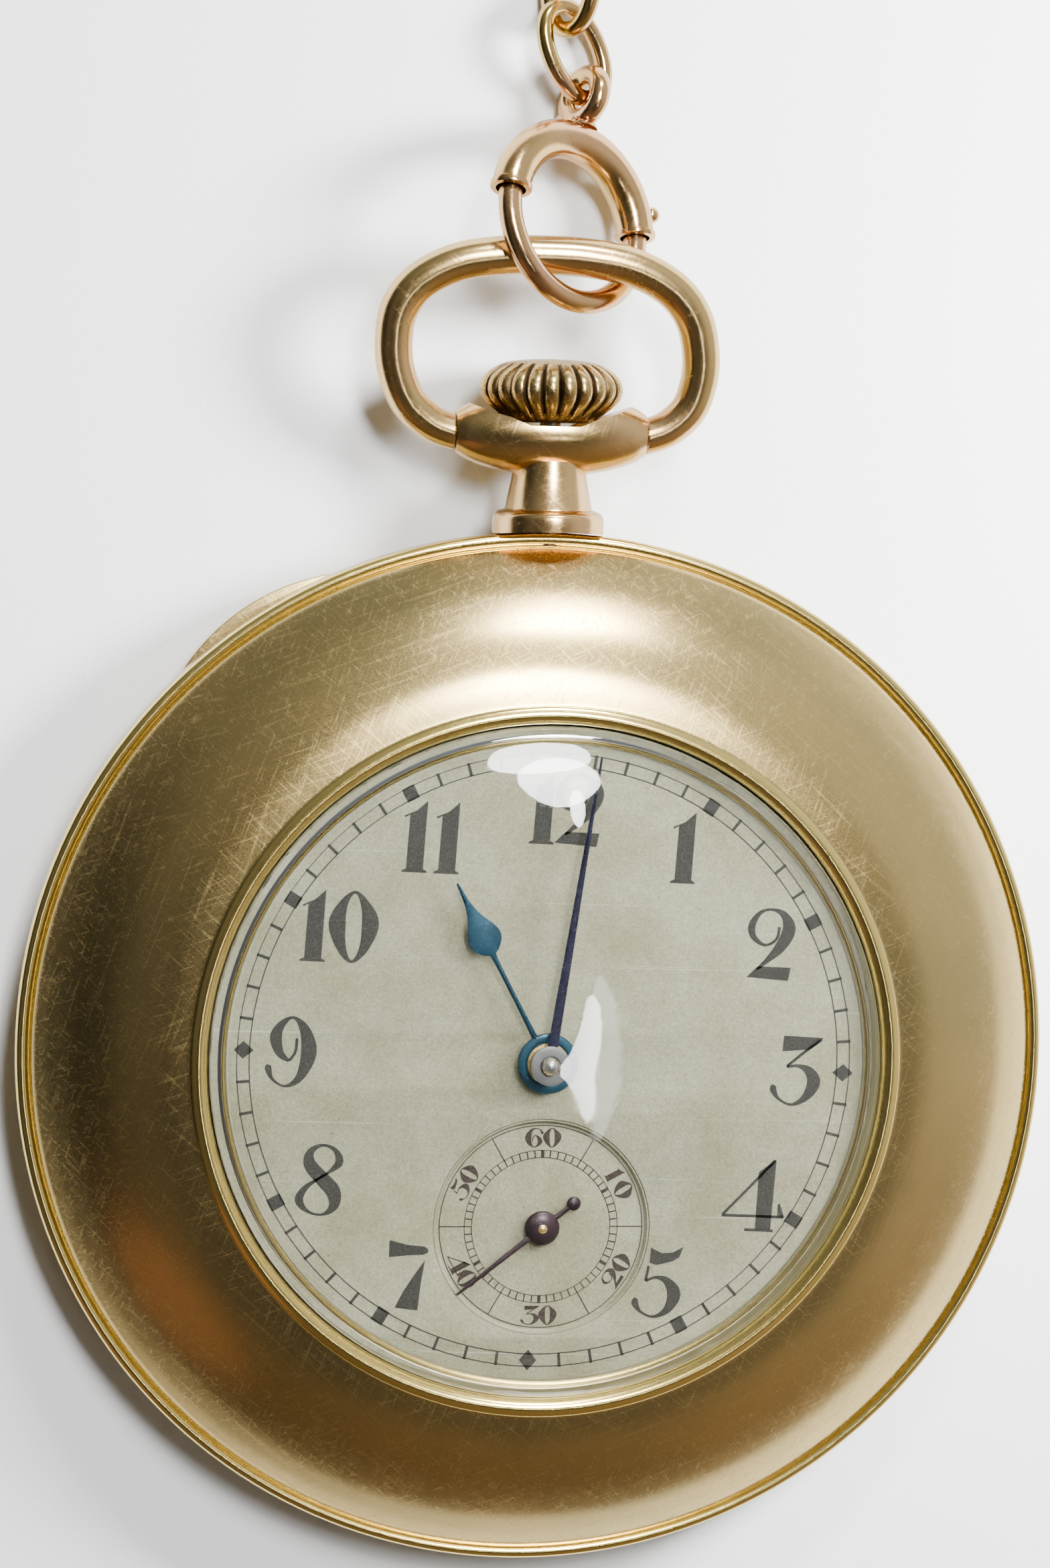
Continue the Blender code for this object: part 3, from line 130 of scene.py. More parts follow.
def make_world():
    """A soft room: bright to the right and behind, dim and warm in front, dark to the left."""
    world = bpy.data.worlds.new("studio")
    bpy.context.scene.world = world
    world.use_nodes = True
    tree = world.node_tree
    background = tree.nodes["Background"]
    place = tree.nodes.new("ShaderNodeTexCoord")
    split = tree.nodes.new("ShaderNodeSeparateXYZ")
    tree.links.new(place.outputs["Generated"], split.inputs[0])

    def ramp(socket, stops):
        spread = tree.nodes.new("ShaderNodeMapRange")
        spread.inputs["From Min"].default_value = -1.0
        tree.links.new(socket, spread.inputs["Value"])
        node = tree.nodes.new("ShaderNodeValToRGB")
        elements = node.color_ramp.elements
        while len(elements) > 1:
            elements.remove(elements[-1])
        for i, (position, colour) in enumerate(stops):
            stop = elements.new(position) if i else elements[0]
            stop.position = position
            stop.color = (*colour, 1) if isinstance(colour, tuple) else (colour, colour, colour, 1)
        tree.links.new(spread.outputs["Result"], node.inputs["Fac"])
        return node.outputs["Color"]

    across = ramp(split.outputs["X"], [
        (0.05, 0.04), (0.18, 0.26), (0.5, 0.72),
        (0.82, (1.15, 1.15, 1.16)), (1.0, 1.3),
    ])
    along = ramp(split.outputs["Y"], [
        (0.05, (0.4, 0.28, 0.18)), (0.18, (0.52, 0.41, 0.3)), (0.5, 1.0),
        (0.82, (1.05, 1.1, 1.1)), (1.0, (0.62, 0.68, 0.68)),
    ])
    height = ramp(split.outputs["Z"], [
        (0.5, 1.0), (0.6, 0.9), (0.72, 1.0), (0.84, 0.85),
        (0.93, 0.35), (0.975, 0.1), (1.0, 0.05),
    ])
    product = across
    for factor in (along, height):
        mix = tree.nodes.new("ShaderNodeMix")
        mix.data_type = "RGBA"
        mix.blend_type = "MULTIPLY"
        mix.inputs[0].default_value = 1.0
        tree.links.new(product, mix.inputs[6])
        tree.links.new(factor, mix.inputs[7])
        product = mix.outputs[2]
    tree.links.new(product, background.inputs["Color"])
    path = tree.nodes.new("ShaderNodeLightPath")
    strength = tree.nodes.new("ShaderNodeMapRange")
    strength.inputs["To Min"].default_value = 0.72
    strength.inputs["To Max"].default_value = 0.22
    tree.links.new(path.outputs["Is Diffuse Ray"], strength.inputs["Value"])
    tree.links.new(strength.outputs["Result"], background.inputs["Strength"])


# ---------------------------------------------------------------- materials


class Finish:
    """A Principled material with short ways to drive it from procedural textures in millimetres."""

    def __init__(self, name, **sockets):
        self.material = bpy.data.materials.new(name)
        self.material.use_nodes = True
        self.tree = self.material.node_tree
        self.shader = self.tree.nodes["Principled BSDF"]
        for socket, value in sockets.items():
            self.shader.inputs[socket.replace("_", " ")].default_value = value
        self.point = self.add("TexCoord").outputs["Object"]

    def add(self, kind, inputs=(), **settings):
        node = self.tree.nodes.new("ShaderNode" + kind)
        for key, value in settings.items():
            setattr(node, key, value)
        for key, value in dict(inputs).items():
            if isinstance(value, bpy.types.NodeSocket):
                self.tree.links.new(value, node.inputs[key])
            else:
                node.inputs[key].default_value = value
        return node

    def mapped(self, scale, turn=(0, 0, 0)):
        """Coordinates in millimetres, turned and then stretched by three factors."""
        turned = self.add("Mapping", {"Vector": self.point, "Rotation": turn})
        stretch = [s * PER_METRE for s in scale]
        return self.add("Mapping", {"Vector": turned.outputs[0], "Scale": stretch}).outputs[0]

    def noise(self, scale, detail=4.0, turn=(0, 0, 0), roughness=0.55):
        vector = self.mapped(scale, turn)
        inputs = {"Vector": vector, "Scale": 1.0, "Detail": detail, "Roughness": roughness}
        return self.add("TexNoise", inputs).outputs[0]

    def remap(self, value, low, high, to_low=0.0, to_high=1.0):
        inputs = {"Value": value, "From Min": low, "From Max": high, "To Min": to_low, "To Max": to_high}
        return self.add("MapRange", inputs).outputs[0]

    def math(self, operation, a, b=0.0):
        return self.add("Math", {0: a, 1: b}, operation=operation).outputs[0]

    def blend(self, factor, a, b, mode="MIX"):
        a = (*a, 1) if isinstance(a, tuple) else a
        b = (*b, 1) if isinstance(b, tuple) else b
        return self.add("Mix", {0: factor, 6: a, 7: b}, data_type="RGBA", blend_type=mode).outputs[2]

    def bump(self, height, distance, strength=1.0):
        inputs = {"Height": height, "Distance": distance * MM, "Strength": strength}
        return self.add("Bump", inputs).outputs[0]

    def drive(self, socket, source):
        self.tree.links.new(source, self.shader.inputs[socket])

    def coated(self, colour, roughness, relief):
        """Drive the shader with all three and hand over the material."""
        self.drive("Base Color", colour)
        if roughness:
            self.drive("Roughness", roughness)
        self.drive("Normal", relief)
        return self.material

    def scratches(self, fineness, directions):
        """Thin lines in a few directions, brightest where two of them cross."""
        total = None
        for angle in directions:
            lines = self.noise((fineness, fineness * 0.03, fineness * 0.3), 2.0, (0, 0, angle))
            lines = self.remap(lines, 0.56, 0.72)
            total = lines if total is None else self.math("ADD", total, lines)
        return total


def metal(
    name, light, dark, roughness, patch=0.12, scratch=9.0, depth=0.004, spread=0.12, grime=None, shine=1.0
):
    """Worn metal: two tones in soft patches, fine scratches in its gloss and relief."""
    finish = Finish(name, Metallic=shine)
    patches = finish.remap(finish.noise((patch, patch, patch), 6.0), 0.35, 0.68)
    colour = finish.blend(patches, light, dark)
    if grime:
        spots = finish.remap(finish.noise((1.3, 1.3, 1.3), 8.0), 0.58, 0.8, 0.0, 0.5)
        colour = finish.blend(spots, colour, grime)
    lines = finish.scratches(scratch, (0.35, 1.2, 2.3))
    fine = finish.noise((14.0, 14.0, 14.0), 3.0)
    rough = finish.math("ADD", finish.remap(fine, 0.3, 0.7, roughness - 0.04, roughness + 0.04),
                        finish.math("MULTIPLY", lines, spread))
    relief = finish.math("ADD", lines, finish.math("MULTIPLY", fine, 0.35))
    return finish.coated(colour, rough, finish.bump(relief, depth))


def striped(name, light, dark, roughness, period=1.0):
    """Nickelled bridges with straight ribbing across them."""
    finish = Finish(name, Metallic=1.0)
    vector = finish.mapped((1 / period, 1 / period, 1 / period), (0, 0, 0.6))
    wave = finish.add("TexWave", {"Vector": vector, "Scale": 0.5, "Distortion": 0.0}, wave_profile="SAW")
    bands = wave.outputs["Fac"]
    fine = finish.noise((30.0, 0.6, 3.0), 3.0, (0, 0, 0.6))
    shade = finish.math("ADD", finish.math("MULTIPLY", bands, 0.6), finish.math("MULTIPLY", fine, 0.4))
    rough = finish.remap(fine, 0.3, 0.7, roughness - 0.08, roughness + 0.1)
    return finish.coated(finish.blend(shade, dark, light), rough, finish.bump(shade, 0.02, 0.6))


def dial_finish():
    """Matte silvering: fine grain, soft stains, a few specks and one long faint scratch."""
    finish = Finish("dial_silver", Metallic=0.1, Roughness=0.62, Specular_IOR_Level=0.2)
    grain = finish.remap(finish.noise((9.0, 9.0, 9.0), 6.0, roughness=0.75), 0.3, 0.7)
    stains = finish.remap(finish.noise((0.22, 0.22, 0.22), 8.0, roughness=0.7), 0.38, 0.62)
    colour = finish.blend(grain, (0.080, 0.079, 0.050), (0.160, 0.157, 0.108))
    warm = finish.blend(stains, (1.04, 1.03, 1.04), (0.78, 0.76, 0.68))
    colour = finish.blend(1.0, colour, warm, "MULTIPLY")
    specks = finish.add("TexVoronoi", {"Vector": finish.mapped((1.1, 1.1, 1.1)), "Scale": 1.0})
    dots = finish.remap(specks.outputs["Distance"], 0.035, 0.07, 1.0, 0.0)
    sparse = finish.remap(finish.noise((0.7, 0.7, 0.7), 2.0), 0.52, 0.58)
    colour = finish.blend(
        finish.math("MULTIPLY", dots, finish.math("MULTIPLY", sparse, 0.8)), colour,
        (0.030, 0.024, 0.018),
    )
    lines = finish.remap(finish.noise((0.05, 7.0, 1.0), 2.0, (0, 0, 0.02)), 0.68, 0.74)
    colour = finish.blend(finish.math("MULTIPLY", lines, 0.35), colour, (0.24, 0.235, 0.21))
    rough = finish.remap(grain, 0.0, 1.0, 0.72, 0.5)
    return finish.coated(colour, rough, finish.bump(grain, 0.012, 0.7))


def ink_finish(name, dark, worn):
    """Printing ink with the dial's grain showing through a little."""
    finish = Finish(name, Roughness=0.6, Specular_IOR_Level=0.12)
    grain = finish.remap(finish.noise((10.0, 10.0, 10.0), 6.0, roughness=0.75), 0.45, 0.8)
    rough = finish.remap(grain, 0.0, 1.0, 0.5, 0.75)
    return finish.coated(finish.blend(grain, dark, worn), rough, finish.bump(grain, 0.006, 0.5))


def crystal_finish():
    """Clear crystal that lets the lamps through to the dial, with faint wipe marks in its gloss."""
    finish = Finish("crystal", Roughness=0.02, IOR=1.47, Transmission_Weight=1.0)
    marks = finish.noise((0.8, 0.15, 0.5), 5.0, (0, 0, 0.5))
    finish.drive("Roughness", finish.remap(marks, 0.45, 0.75, 0.012, 0.05))
    finish.drive("Base Color", finish.blend(marks, (0.99, 1.0, 0.99), (0.97, 0.985, 0.975)))
    finish.drive("Normal", finish.bump(marks, 0.002, 0.3))
    clear = finish.add("BsdfTransparent")
    path = finish.add("LightPath")
    mix = finish.add(
        "MixShader", {0: path.outputs["Is Shadow Ray"], 1: finish.shader.outputs[0], 2: clear.outputs[0]},
    )
    finish.tree.links.new(mix.outputs[0], finish.tree.nodes["Material Output"].inputs["Surface"])
    return finish.material


def ruby_finish():
    finish = Finish("ruby", Roughness=0.08, IOR=1.76, Transmission_Weight=0.35)
    cloud = finish.noise((3.0, 3.0, 3.0), 4.0)
    colour = finish.blend(cloud, (0.45, 0.01, 0.05), (0.7, 0.04, 0.14))
    return finish.coated(colour, finish.remap(cloud, 0.3, 0.7, 0.05, 0.15), finish.bump(cloud, 0.004, 0.4))


def floor_finish():
    """White paper with a soft tooth."""
    finish = Finish("paper", Roughness=0.85)
    soft = finish.noise((0.05, 0.05, 0.05), 3.0)
    tooth = finish.noise((4.0, 4.0, 4.0), 5.0)
    colour = finish.blend(soft, (0.86, 0.87, 0.88), (0.82, 0.83, 0.84))
    return finish.coated(colour, None, finish.bump(tooth, 0.03, 0.5))


FINISHES = {
    "gold_case": metal("case_gold", (0.63, 0.45, 0.175), (0.5, 0.38, 0.155), 0.23, depth=0.0006, spread=0.06),
    "polished_gold": metal(
        "polished_gold", (0.86, 0.66, 0.22), (0.8, 0.6, 0.18), 0.18, scratch=2.0, depth=0.0001,
        spread=0.02,
    ),
    "inner_gold": metal("inner_gold", (0.34, 0.29, 0.16), (0.28, 0.24, 0.13), 0.34, depth=0.001),
    "lip_gold": metal("lip_gold", (0.26, 0.23, 0.1), (0.21, 0.185, 0.08), 0.36, scratch=14.0, shine=0.5),
    "bow_gold": metal(
        "bow_gold", (0.72, 0.45, 0.2), (0.64, 0.45, 0.17), 0.2, 0.22, 5.0, 0.0008, 0.05, (0.5, 0.3, 0.14),
    ),
    "rose_gold": metal(
        "rose_gold", (0.72, 0.4, 0.22), (0.56, 0.4, 0.12), 0.17, 0.2, 5.0, 0.0008, 0.05,
        (0.5, 0.28, 0.12),
    ),
    "crown_gold": metal("crown_gold", (0.6, 0.44, 0.17), (0.38, 0.25, 0.09), 0.24, patch=0.8, depth=0.001),
    # Painted shade: a near-black finish for the valleys between the crown's ribs
    "crown_valley_shade": metal(
        "crown_valley_shade", (0.12, 0.075, 0.03), (0.05, 0.03, 0.015), 0.4, patch=0.9, depth=0.002,
    ),
    "movement_brass": metal(
        "movement_brass", (0.8, 0.6, 0.24), (0.7, 0.5, 0.18), 0.28, scratch=16.0, depth=0.002,
    ),
    "nickel": striped("nickel", (0.72, 0.7, 0.66), (0.5, 0.48, 0.45), 0.28),
    "steel": metal("steel", (0.62, 0.62, 0.64), (0.48, 0.48, 0.5), 0.2, scratch=16.0, depth=0.001),
    "washer_steel": metal(
        "washer_steel", (0.055, 0.055, 0.052), (0.04, 0.04, 0.04), 0.42, scratch=12.0, depth=0.002,
        shine=0.3,
    ),
    "blue": metal(
        "blue", (0.012, 0.040, 0.060), (0.006, 0.024, 0.040), 0.24, patch=0.5, scratch=2.0, depth=0.0001,
        spread=0.03, shine=0.6,
    ),
    "violet": metal(
        "violet", (0.012, 0.012, 0.026), (0.008, 0.008, 0.016), 0.26, patch=0.5, scratch=2.0,
        depth=0.0001, spread=0.03, shine=0.6,
    ),
    "plum": metal(
        "plum", (0.018, 0.009, 0.011), (0.010, 0.006, 0.008), 0.3, patch=0.6, depth=0.0006, shine=0.5,
    ),
    "dial_silver": dial_finish(),
    "ink": ink_finish("ink", (0.008, 0.0075, 0.0065), (0.036, 0.035, 0.028)),
    "fine_ink": ink_finish("fine_ink", (0.010, 0.007, 0.0055), (0.036, 0.028, 0.022)),
    "crystal": crystal_finish(),
    "ruby": ruby_finish(),
}


# ---------------------------------------------------------------- shapes


def polar(radius, angle, centre=(0.0, 0.0)):
    return (centre[0] + radius * cos(angle), centre[1] + radius * sin(angle))


def ring_points(radius, count, centre=(0.0, 0.0)):
    return [polar(radius, TURN * i / count, centre) for i in range(count)]


def curve_through(points, steps, cyclic=False):
    """Points along a Catmull-Rom curve through tuples of any length."""
    count = len(points)
    path = []
    for i in range(count if cyclic else count - 1):
        if cyclic:
            a, b, c, d = (points[(i + k) % count] for k in (-1, 0, 1, 2))
        else:
            a, b, c, d = points[max(i - 1, 0)], points[i], points[i + 1], points[min(i + 2, count - 1)]
        for k in range(steps):
            t = k / steps
            path.append(tuple(
                0.5 * (
                    2 * q + (r - p) * t + (2 * p - 5 * q + 4 * r - s) * t * t
                    + (3 * q - p - 3 * r + s) * t ** 3
                )
                for p, q, r, s in zip(a, b, c, d)
            ))
    return path if cyclic else path + [tuple(points[-1])]


def to_object(name, solid, finish, smooth_angle=35.0):
    """A closed bmesh in millimetres as an object in metres, its faces turned outwards."""
    bmesh.ops.recalc_face_normals(solid, faces=solid.faces)
    mesh = bpy.data.meshes.new(name)
    solid.to_mesh(mesh)
    solid.free()
    mesh.transform(Matrix.Scale(MM, 4))
    mesh.materials.append(FINISHES[finish])
    mesh.shade_smooth()
    mesh.set_sharp_from_angle(angle=radians(smooth_angle))
    thing = bpy.data.objects.new(name, mesh)
    bpy.context.scene.collection.objects.link(thing)
    return thing


def skin(solid, rows, cyclic_rows=False):
    """Faces over rows of points that each close on themselves."""
    made = [[solid.verts.new(point) for point in row] for row in rows]
    pairs = list(zip(made, made[1:]))
    if cyclic_rows:
        pairs.append((made[-1], made[0]))
    for lower, upper in pairs:
        count = len(lower)
        for i in range(count):
            j = (i + 1) % count
            solid.faces.new((lower[i], lower[j], upper[j], upper[i]))
    if not cyclic_rows:
        solid.faces.new(made[0][::-1])
        solid.faces.new(made[-1])


def revolve(solid, profile, segments, at=None, wobble=None):
    """A turned shape: (radius, height) pairs. A profile that ends on the axis at both ends closes there."""
    at = at or Matrix.Identity(4)
    rows = []
    for i in range(segments):
        angle = TURN * i / segments
        row = []
        for radius, height in profile:
            reach = radius + (wobble(radius, height, angle) if wobble else 0.0)
            row.append(at @ Vector((*polar(reach, angle), height)))
        rows.append(row)
    closed = profile[0][0] > 0
    verts = [[solid.verts.new(p) for p in row] for row in rows]
    count = len(profile)
    for i in range(segments):
        here, there = verts[i], verts[(i + 1) % segments]
        for k in range(count if closed else count - 1):
            m = (k + 1) % count
            solid.faces.new((here[k], there[k], there[m], here[m]))
    if not closed:
        bmesh.ops.remove_doubles(solid, verts=solid.verts, dist=1e-5)


def tube(solid, path, radii, sides, cyclic=False):
    """A round wire along a path, with a frame carried from point to point so that it doesn't twist."""
    count = len(path)
    points = [Vector(p) for p in path]
    tangents = []
    for i in range(count):
        before = points[i - 1] if cyclic or i else points[0]
        after = points[(i + 1) % count] if cyclic or i < count - 1 else points[-1]
        tangents.append((after - before).normalized())
    side = tangents[0].orthogonal().normalized()
    rows = []
    for i, (point, tangent) in enumerate(zip(points, tangents)):
        side = (side - tangent * side.dot(tangent)).normalized()
        lift = tangent.cross(side)
        radius = radii[i] if isinstance(radii, (list, tuple)) else radii
        rows.append([
            point + (side * cos(TURN * k / sides) + lift * sin(TURN * k / sides)) * radius
            for k in range(sides)
        ])
    if cyclic:
        spin_rows(rows, points, tangents, closing_shift(rows[0], rows[-1], tangents[0]))
    skin(solid, rows, cyclic_rows=cyclic)


def closing_shift(first, last, axis):
    """The angle left over when a carried frame comes back to its start."""
    centre_a = sum(first, Vector()) / len(first)
    centre_b = sum(last, Vector()) / len(last)
    a = (first[0] - centre_a).normalized()
    b = last[0] - centre_b
    b = (b - axis * b.dot(axis)).normalized()
    return atan2(b.cross(a).dot(axis), a.dot(b))


def spin_rows(rows, points, tangents, total):
    """Share the left-over angle out along a closed wire."""
    count = len(rows)
    for i in range(count):
        turn = Matrix.Rotation(total * i / count, 3, tangents[i])
        rows[i] = [points[i] + turn @ (p - points[i]) for p in rows[i]]


def prism(solid, outline, low, high):
    """A flat piece with straight sides over one outline."""
    skin(solid, [[(x, y, z) for x, y in outline] for z in (low, high)])


def ball(solid, centre, radius):
    at = Matrix.Translation(centre)
    bmesh.ops.create_uvsphere(solid, u_segments=24, v_segments=12, radius=radius, matrix=at)


def rod_object(name, start, end, radius, sides=48):
    solid = bmesh.new()
    start, end = Vector(start), Vector(end)
    turn = Vector((0, 0, 1)).rotation_difference(end - start).to_matrix().to_4x4()
    bmesh.ops.create_cone(
        solid, cap_ends=True, segments=sides, radius1=radius, radius2=radius, depth=(end - start).length,
        matrix=Matrix.Translation((start + end) / 2) @ turn,
    )
    return to_object(name, solid, "gold_case")


def shape_with(target, cutters=(), joined=()):
    """Cut and join other objects into this one for good, and remove them."""
    others = [(other, "DIFFERENCE") for other in cutters] + [(other, "UNION") for other in joined]
    for other, operation in others:
        step = target.modifiers.new(operation, "BOOLEAN")
        step.operation = operation
        step.solver = "EXACT"
        step.object = other
    bpy.context.view_layer.update()
    evaluated = target.evaluated_get(bpy.context.evaluated_depsgraph_get())
    mesh = bpy.data.meshes.new_from_object(evaluated)
    target.modifiers.clear()
    target.data = mesh
    mesh.shade_smooth()
    mesh.set_sharp_from_angle(angle=radians(35))
    for other, _ in others:
        bpy.data.objects.remove(other, do_unlink=True)
    return target


def piece(thing, body, stands_for=()):
    """Put a finished object on its CAD body, in place of the CAD nodes it stands for."""
    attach(thing, body)
    if stands_for:
        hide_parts(*stands_for)
    return thing


def turned(name, profile, finish, segments=128, at=None, smooth_angle=35.0):
    solid = bmesh.new()
    revolve(solid, profile, segments, at)
    return to_object(name, solid, finish, smooth_angle)


ALONG_Y = Matrix.Translation((0, 0, STEM_HEIGHT)) @ Matrix.Rotation(-pi / 2, 4, "X")
AT_SUBDIAL = Matrix.Translation((*SUBDIAL_CENTRE, 0))


# ---------------------------------------------------------------- case


def bezel():
    """A satin convex band between a polished lip and a round bead at the rim."""
    lip = curve_through(
        [(16.06, 7.9), (16.1, 8.35), (16.3, 8.6), (16.55, 8.67), (16.8, 8.58), (16.92, 8.49)], 5,
    )
    slope = curve_through([
        (17.0, 8.47), (18.0, 8.32), (19.0, 8.02), (20.5, 7.34), (22.0, 6.4), (23.2, 5.44), (23.95, 4.78),
    ], 6)
    shoulder = curve_through([(24.12, 4.62), (24.2, 4.5), (24.22, 4.42)], 3)
    bead = [polar(0.31, radians(155 - 17 * i), (24.6, 4.19)) for i in range(13)]
    under = [
        (24.66, 3.72), (24.66, 4.0), (23.5, 4.0), (23.5, 4.62), (21.2, 6.15), (18.9, 7.32), (18.5, 7.48),
        (16.06, 7.5),
    ]
    thing = turned("bezel_shell", lip + slope + shoulder + bead + under, "gold_case", 192, smooth_angle=40)
    thing.data.materials.append(FINISHES["polished_gold"])
    for face in thing.data.polygons:
        reach = hypot(face.center.x, face.center.y) / MM
        if reach > BEAD_EDGE or (reach < LIP_EDGE and face.center.z > 7.6 * MM):
            face.material_index = 1
    shape_with(thing, [along_y("tenon_room", 22.8, 26, 0.85)])
    piece(thing, "case", ["bezel"])


def dial_ring():
    outline = curve_through(
        [(15.98, 7.95), (15.98, 7.45), (15.6, 7.45), (15.5, 7.58), (15.62, 7.84), (15.78, 7.96)], 3,
    )
    piece(turned("inner_ring", outline, "inner_gold"), "case", ["dial_ring"])


def crystal():
    outer = curve_through(
        [(0.0, 10.28), (5.0, 10.19), (9.5, 9.93), (13.2, 9.5), (15.2, 9.06), (15.85, 8.7), (15.98, 8.35)],
        8,
    )
    inner = curve_through(
        [(15.45, 8.05), (15.25, 8.55), (14.6, 8.9), (12.8, 9.22), (9.2, 9.55), (5.0, 9.74), (0.0, 9.8)],
        6,
    )
    profile = outer + [(15.98, 8.02)] + inner
    piece(turned("crystal_dome", profile, "crystal"), "case", ["crystal"])


def hinge_rod(name, reach, height, start, end, radius):
    outward = Vector((cos(HINGE_ANGLE), sin(HINGE_ANGLE), 0))
    along = Vector((-outward.y, outward.x, 0))
    middle = outward * reach + Vector((0, 0, height))
    return rod_object(name, middle + along * start, middle + along * end, radius, 32)


def hinged(thing, name, reach, height, knuckle, pin, half, fixed):
    """Cut a three-knuckle hinge into a cover or the band: the middle knuckle is the band's."""
    third, clear, slack, wear = half / 3, 0.06, 0.02, 0.03
    if fixed:
        rooms = [(-half - clear, clear - third), (third - clear, half + clear)]
        knuckles = [(-third, third)]
    else:
        rooms = [(-third - clear, third + clear)]
        knuckles = [(wear - half, -third - clear - slack), (third + clear + slack, half - wear)]
    cutters = [
        hinge_rod(f"{name}_room_{i}", reach, height, a, b, knuckle + clear)
        for i, (a, b) in enumerate(rooms)
    ]
    added = [
        hinge_rod(f"{name}_knuckle_{i}", reach, height, a, b, knuckle)
        for i, (a, b) in enumerate(knuckles)
    ]
    shape_with(thing, cutters, added)
    shape_with(thing, [hinge_rod(f"{name}_bore", reach, height, -half - 1, half + 1, pin + wear)])


# Reach from the centre, height, knuckle radius, pin radius and half the length
BACK_HINGE = (24.85, 2.05, 0.4, 0.16, 3.6)
INNER_HINGE = (22.9, 1.97, 0.32, 0.12, 2.4)


def case_band():
    profile = [
        (23.4, 4.6), (23.4, 3.95), (24.6, 3.95), (24.6, 3.58), (24.78, 3.55), (24.84, 3.47),
        (24.85, 2.36), (24.8, 2.2),
        (24.66, 2.09), (24.55, 2.052), (21.6, 2.052), (21.6, 2.45), (19.5, 2.45), (19.5, 3.95), (22.4, 3.95),
        (22.4, 4.6),
    ]
    thing = turned("band_shell", profile, "gold_case", 160)
    shape_with(thing, [along_y("pendant_hole", 18.5, 26, 0.8)])
    hinged(thing, "back", *BACK_HINGE, True)
    hinged(thing, "inner", *INNER_HINGE, True)
    piece(thing, "case", ["case_band"])


def dish(flat, radius, rim, floor, steps):
    """A quarter ellipse from a flat floor out and up to a rim."""
    points = []
    for i in range(steps + 1):
        angle = pi / 2 * i / steps
        points.append((flat + (radius - flat) * sin(angle), rim - (rim - floor) * cos(angle)))
    return points


def back_cover():
    inner = dish(14.0, 24.3, 1.99, 0.45, 14)
    outer = dish(14.0, 24.78, 1.9, 0.0, 18)
    rim = [(24.79, 1.95), (24.74, 1.99)]
    profile = [(0.0, 0.45)] + inner + rim[::-1] + outer[::-1] + [(0.0, 0.0)]
    thing = turned("back_shell", profile, "gold_case", 160)
    start, half = radians(124), radians(12)
    edge = []
    for i in range(33):
        share = i / 32
        reach = 24.5 + 0.85 * sin(pi * share) ** 0.8
        edge.append(polar(reach, start + half * (2 * share - 1)))
    edge += [polar(24.35, start + half * (1 - 2 * i / 10)) for i in range(11)]
    solid = bmesh.new()
    prism(solid, edge, 1.62, 1.92)
    lip = to_object("lip_blank", solid, "lip_gold")
    bevel = lip.modifiers.new("soft_edge", "BEVEL")
    bevel.width = 0.05 * MM
    bevel.segments = 3
    shape_with(thing, joined=[lip])
    hinged(thing, "cover", *BACK_HINGE, False)
    for face in thing.data.polygons:
        if hypot(face.center.x, face.center.y) > 24.9 * MM and face.center.y > 0:
            face.material_index = 1
    piece(thing, "back", ["back_cover"])


def cuvette():
    shell = dish(15.0, 22.0, 1.7, 0.95, 12)
    floor = dish(15.0, 21.8, 1.99, 1.2, 12)
    rim = [(22.7, 1.99), (22.75, 1.94), (22.75, 1.72)]
    profile = [(0.0, 1.2)] + floor + rim + shell[::-1] + [(0.0, 0.95)]
    thing = turned("cuvette_shell", profile, "gold_case", 144)
    hinged(thing, "cuvette", *INNER_HINGE, False)
    piece(thing, "inner_back", ["cuvette"])


def pendant():
    collar = curve_through([(2.66, 24.6), (2.66, 25.5), (2.55, 25.8), (2.3, 25.93), (2.12, 25.98)], 4)
    neck = [(2.08, 26.04), (1.72, 27.86), (1.64, 28.3)]
    profile = collar + neck + [(0.56, 28.3), (0.56, 24.6)]
    thing = turned("pendant_neck", profile, "bow_gold", 96, ALONG_Y)
    seat = rod_object("pendant_seat", (0, 0, -2), (0, 0, 9), 24.97, 256)
    shape_with(thing, [seat])
    shape_with(thing, joined=[along_y("tenon", 20, 26.5, 0.75)])
    shape_with(thing, [along_y("pendant_bore", 18, 29, 0.58)])
    piece(thing, "case", ["pendant"])


def along_y(name, start, end, radius):
    """A rod on the stem's line."""
    return rod_object(name, (0, start, STEM_HEIGHT), (0, end, STEM_HEIGHT), radius)


def along_x(name, start, end, radius):
    """A rod on the bow's axis."""
    return rod_object(name, (start, YOKE_Y, STEM_HEIGHT), (end, YOKE_Y, STEM_HEIGHT), radius)


def bow_yoke():
    """A boat-shaped holder with a chamfer at each end, hollowed for the crown."""
    half = [(1.0 + (1 - (i / 16) ** 2.2) ** 0.75, 4.5 * i / 16) for i in range(16)]
    half += [(1.06, 4.46), (1.0, 4.56), (0.9, YOKE_HALF)]
    profile = [(0.0, -YOKE_HALF)] + [(r, -h) for r, h in half[::-1]] + half[1:] + [(0.0, YOKE_HALF)]
    at = Matrix.Translation((0, YOKE_Y, STEM_HEIGHT)) @ Matrix.Rotation(pi / 2, 4, "Y")
    thing = turned("yoke_shell", profile, "bow_gold", 98, at)
    crown_room = [(0.0, 31.4), (3.95, 31.4), (2.25, 29.95), (0.0, 29.95)]
    cutters = [
        rod_object("saddle", (0, 39.47, -2), (0, 39.47, 9), 9.37, 160),
        turned("crown_room", crown_room, "gold_case", 64, ALONG_Y),
        along_y("yoke_bore", 29, 31, 0.62),
    ]
    for side in (-1, 1):
        cutters.append(along_x(f"bow_hole_{side}", side * 3.5, side * 5.5, 0.5))
    shape_with(thing, cutters)
    piece(thing, "case", ["bow_yoke"])


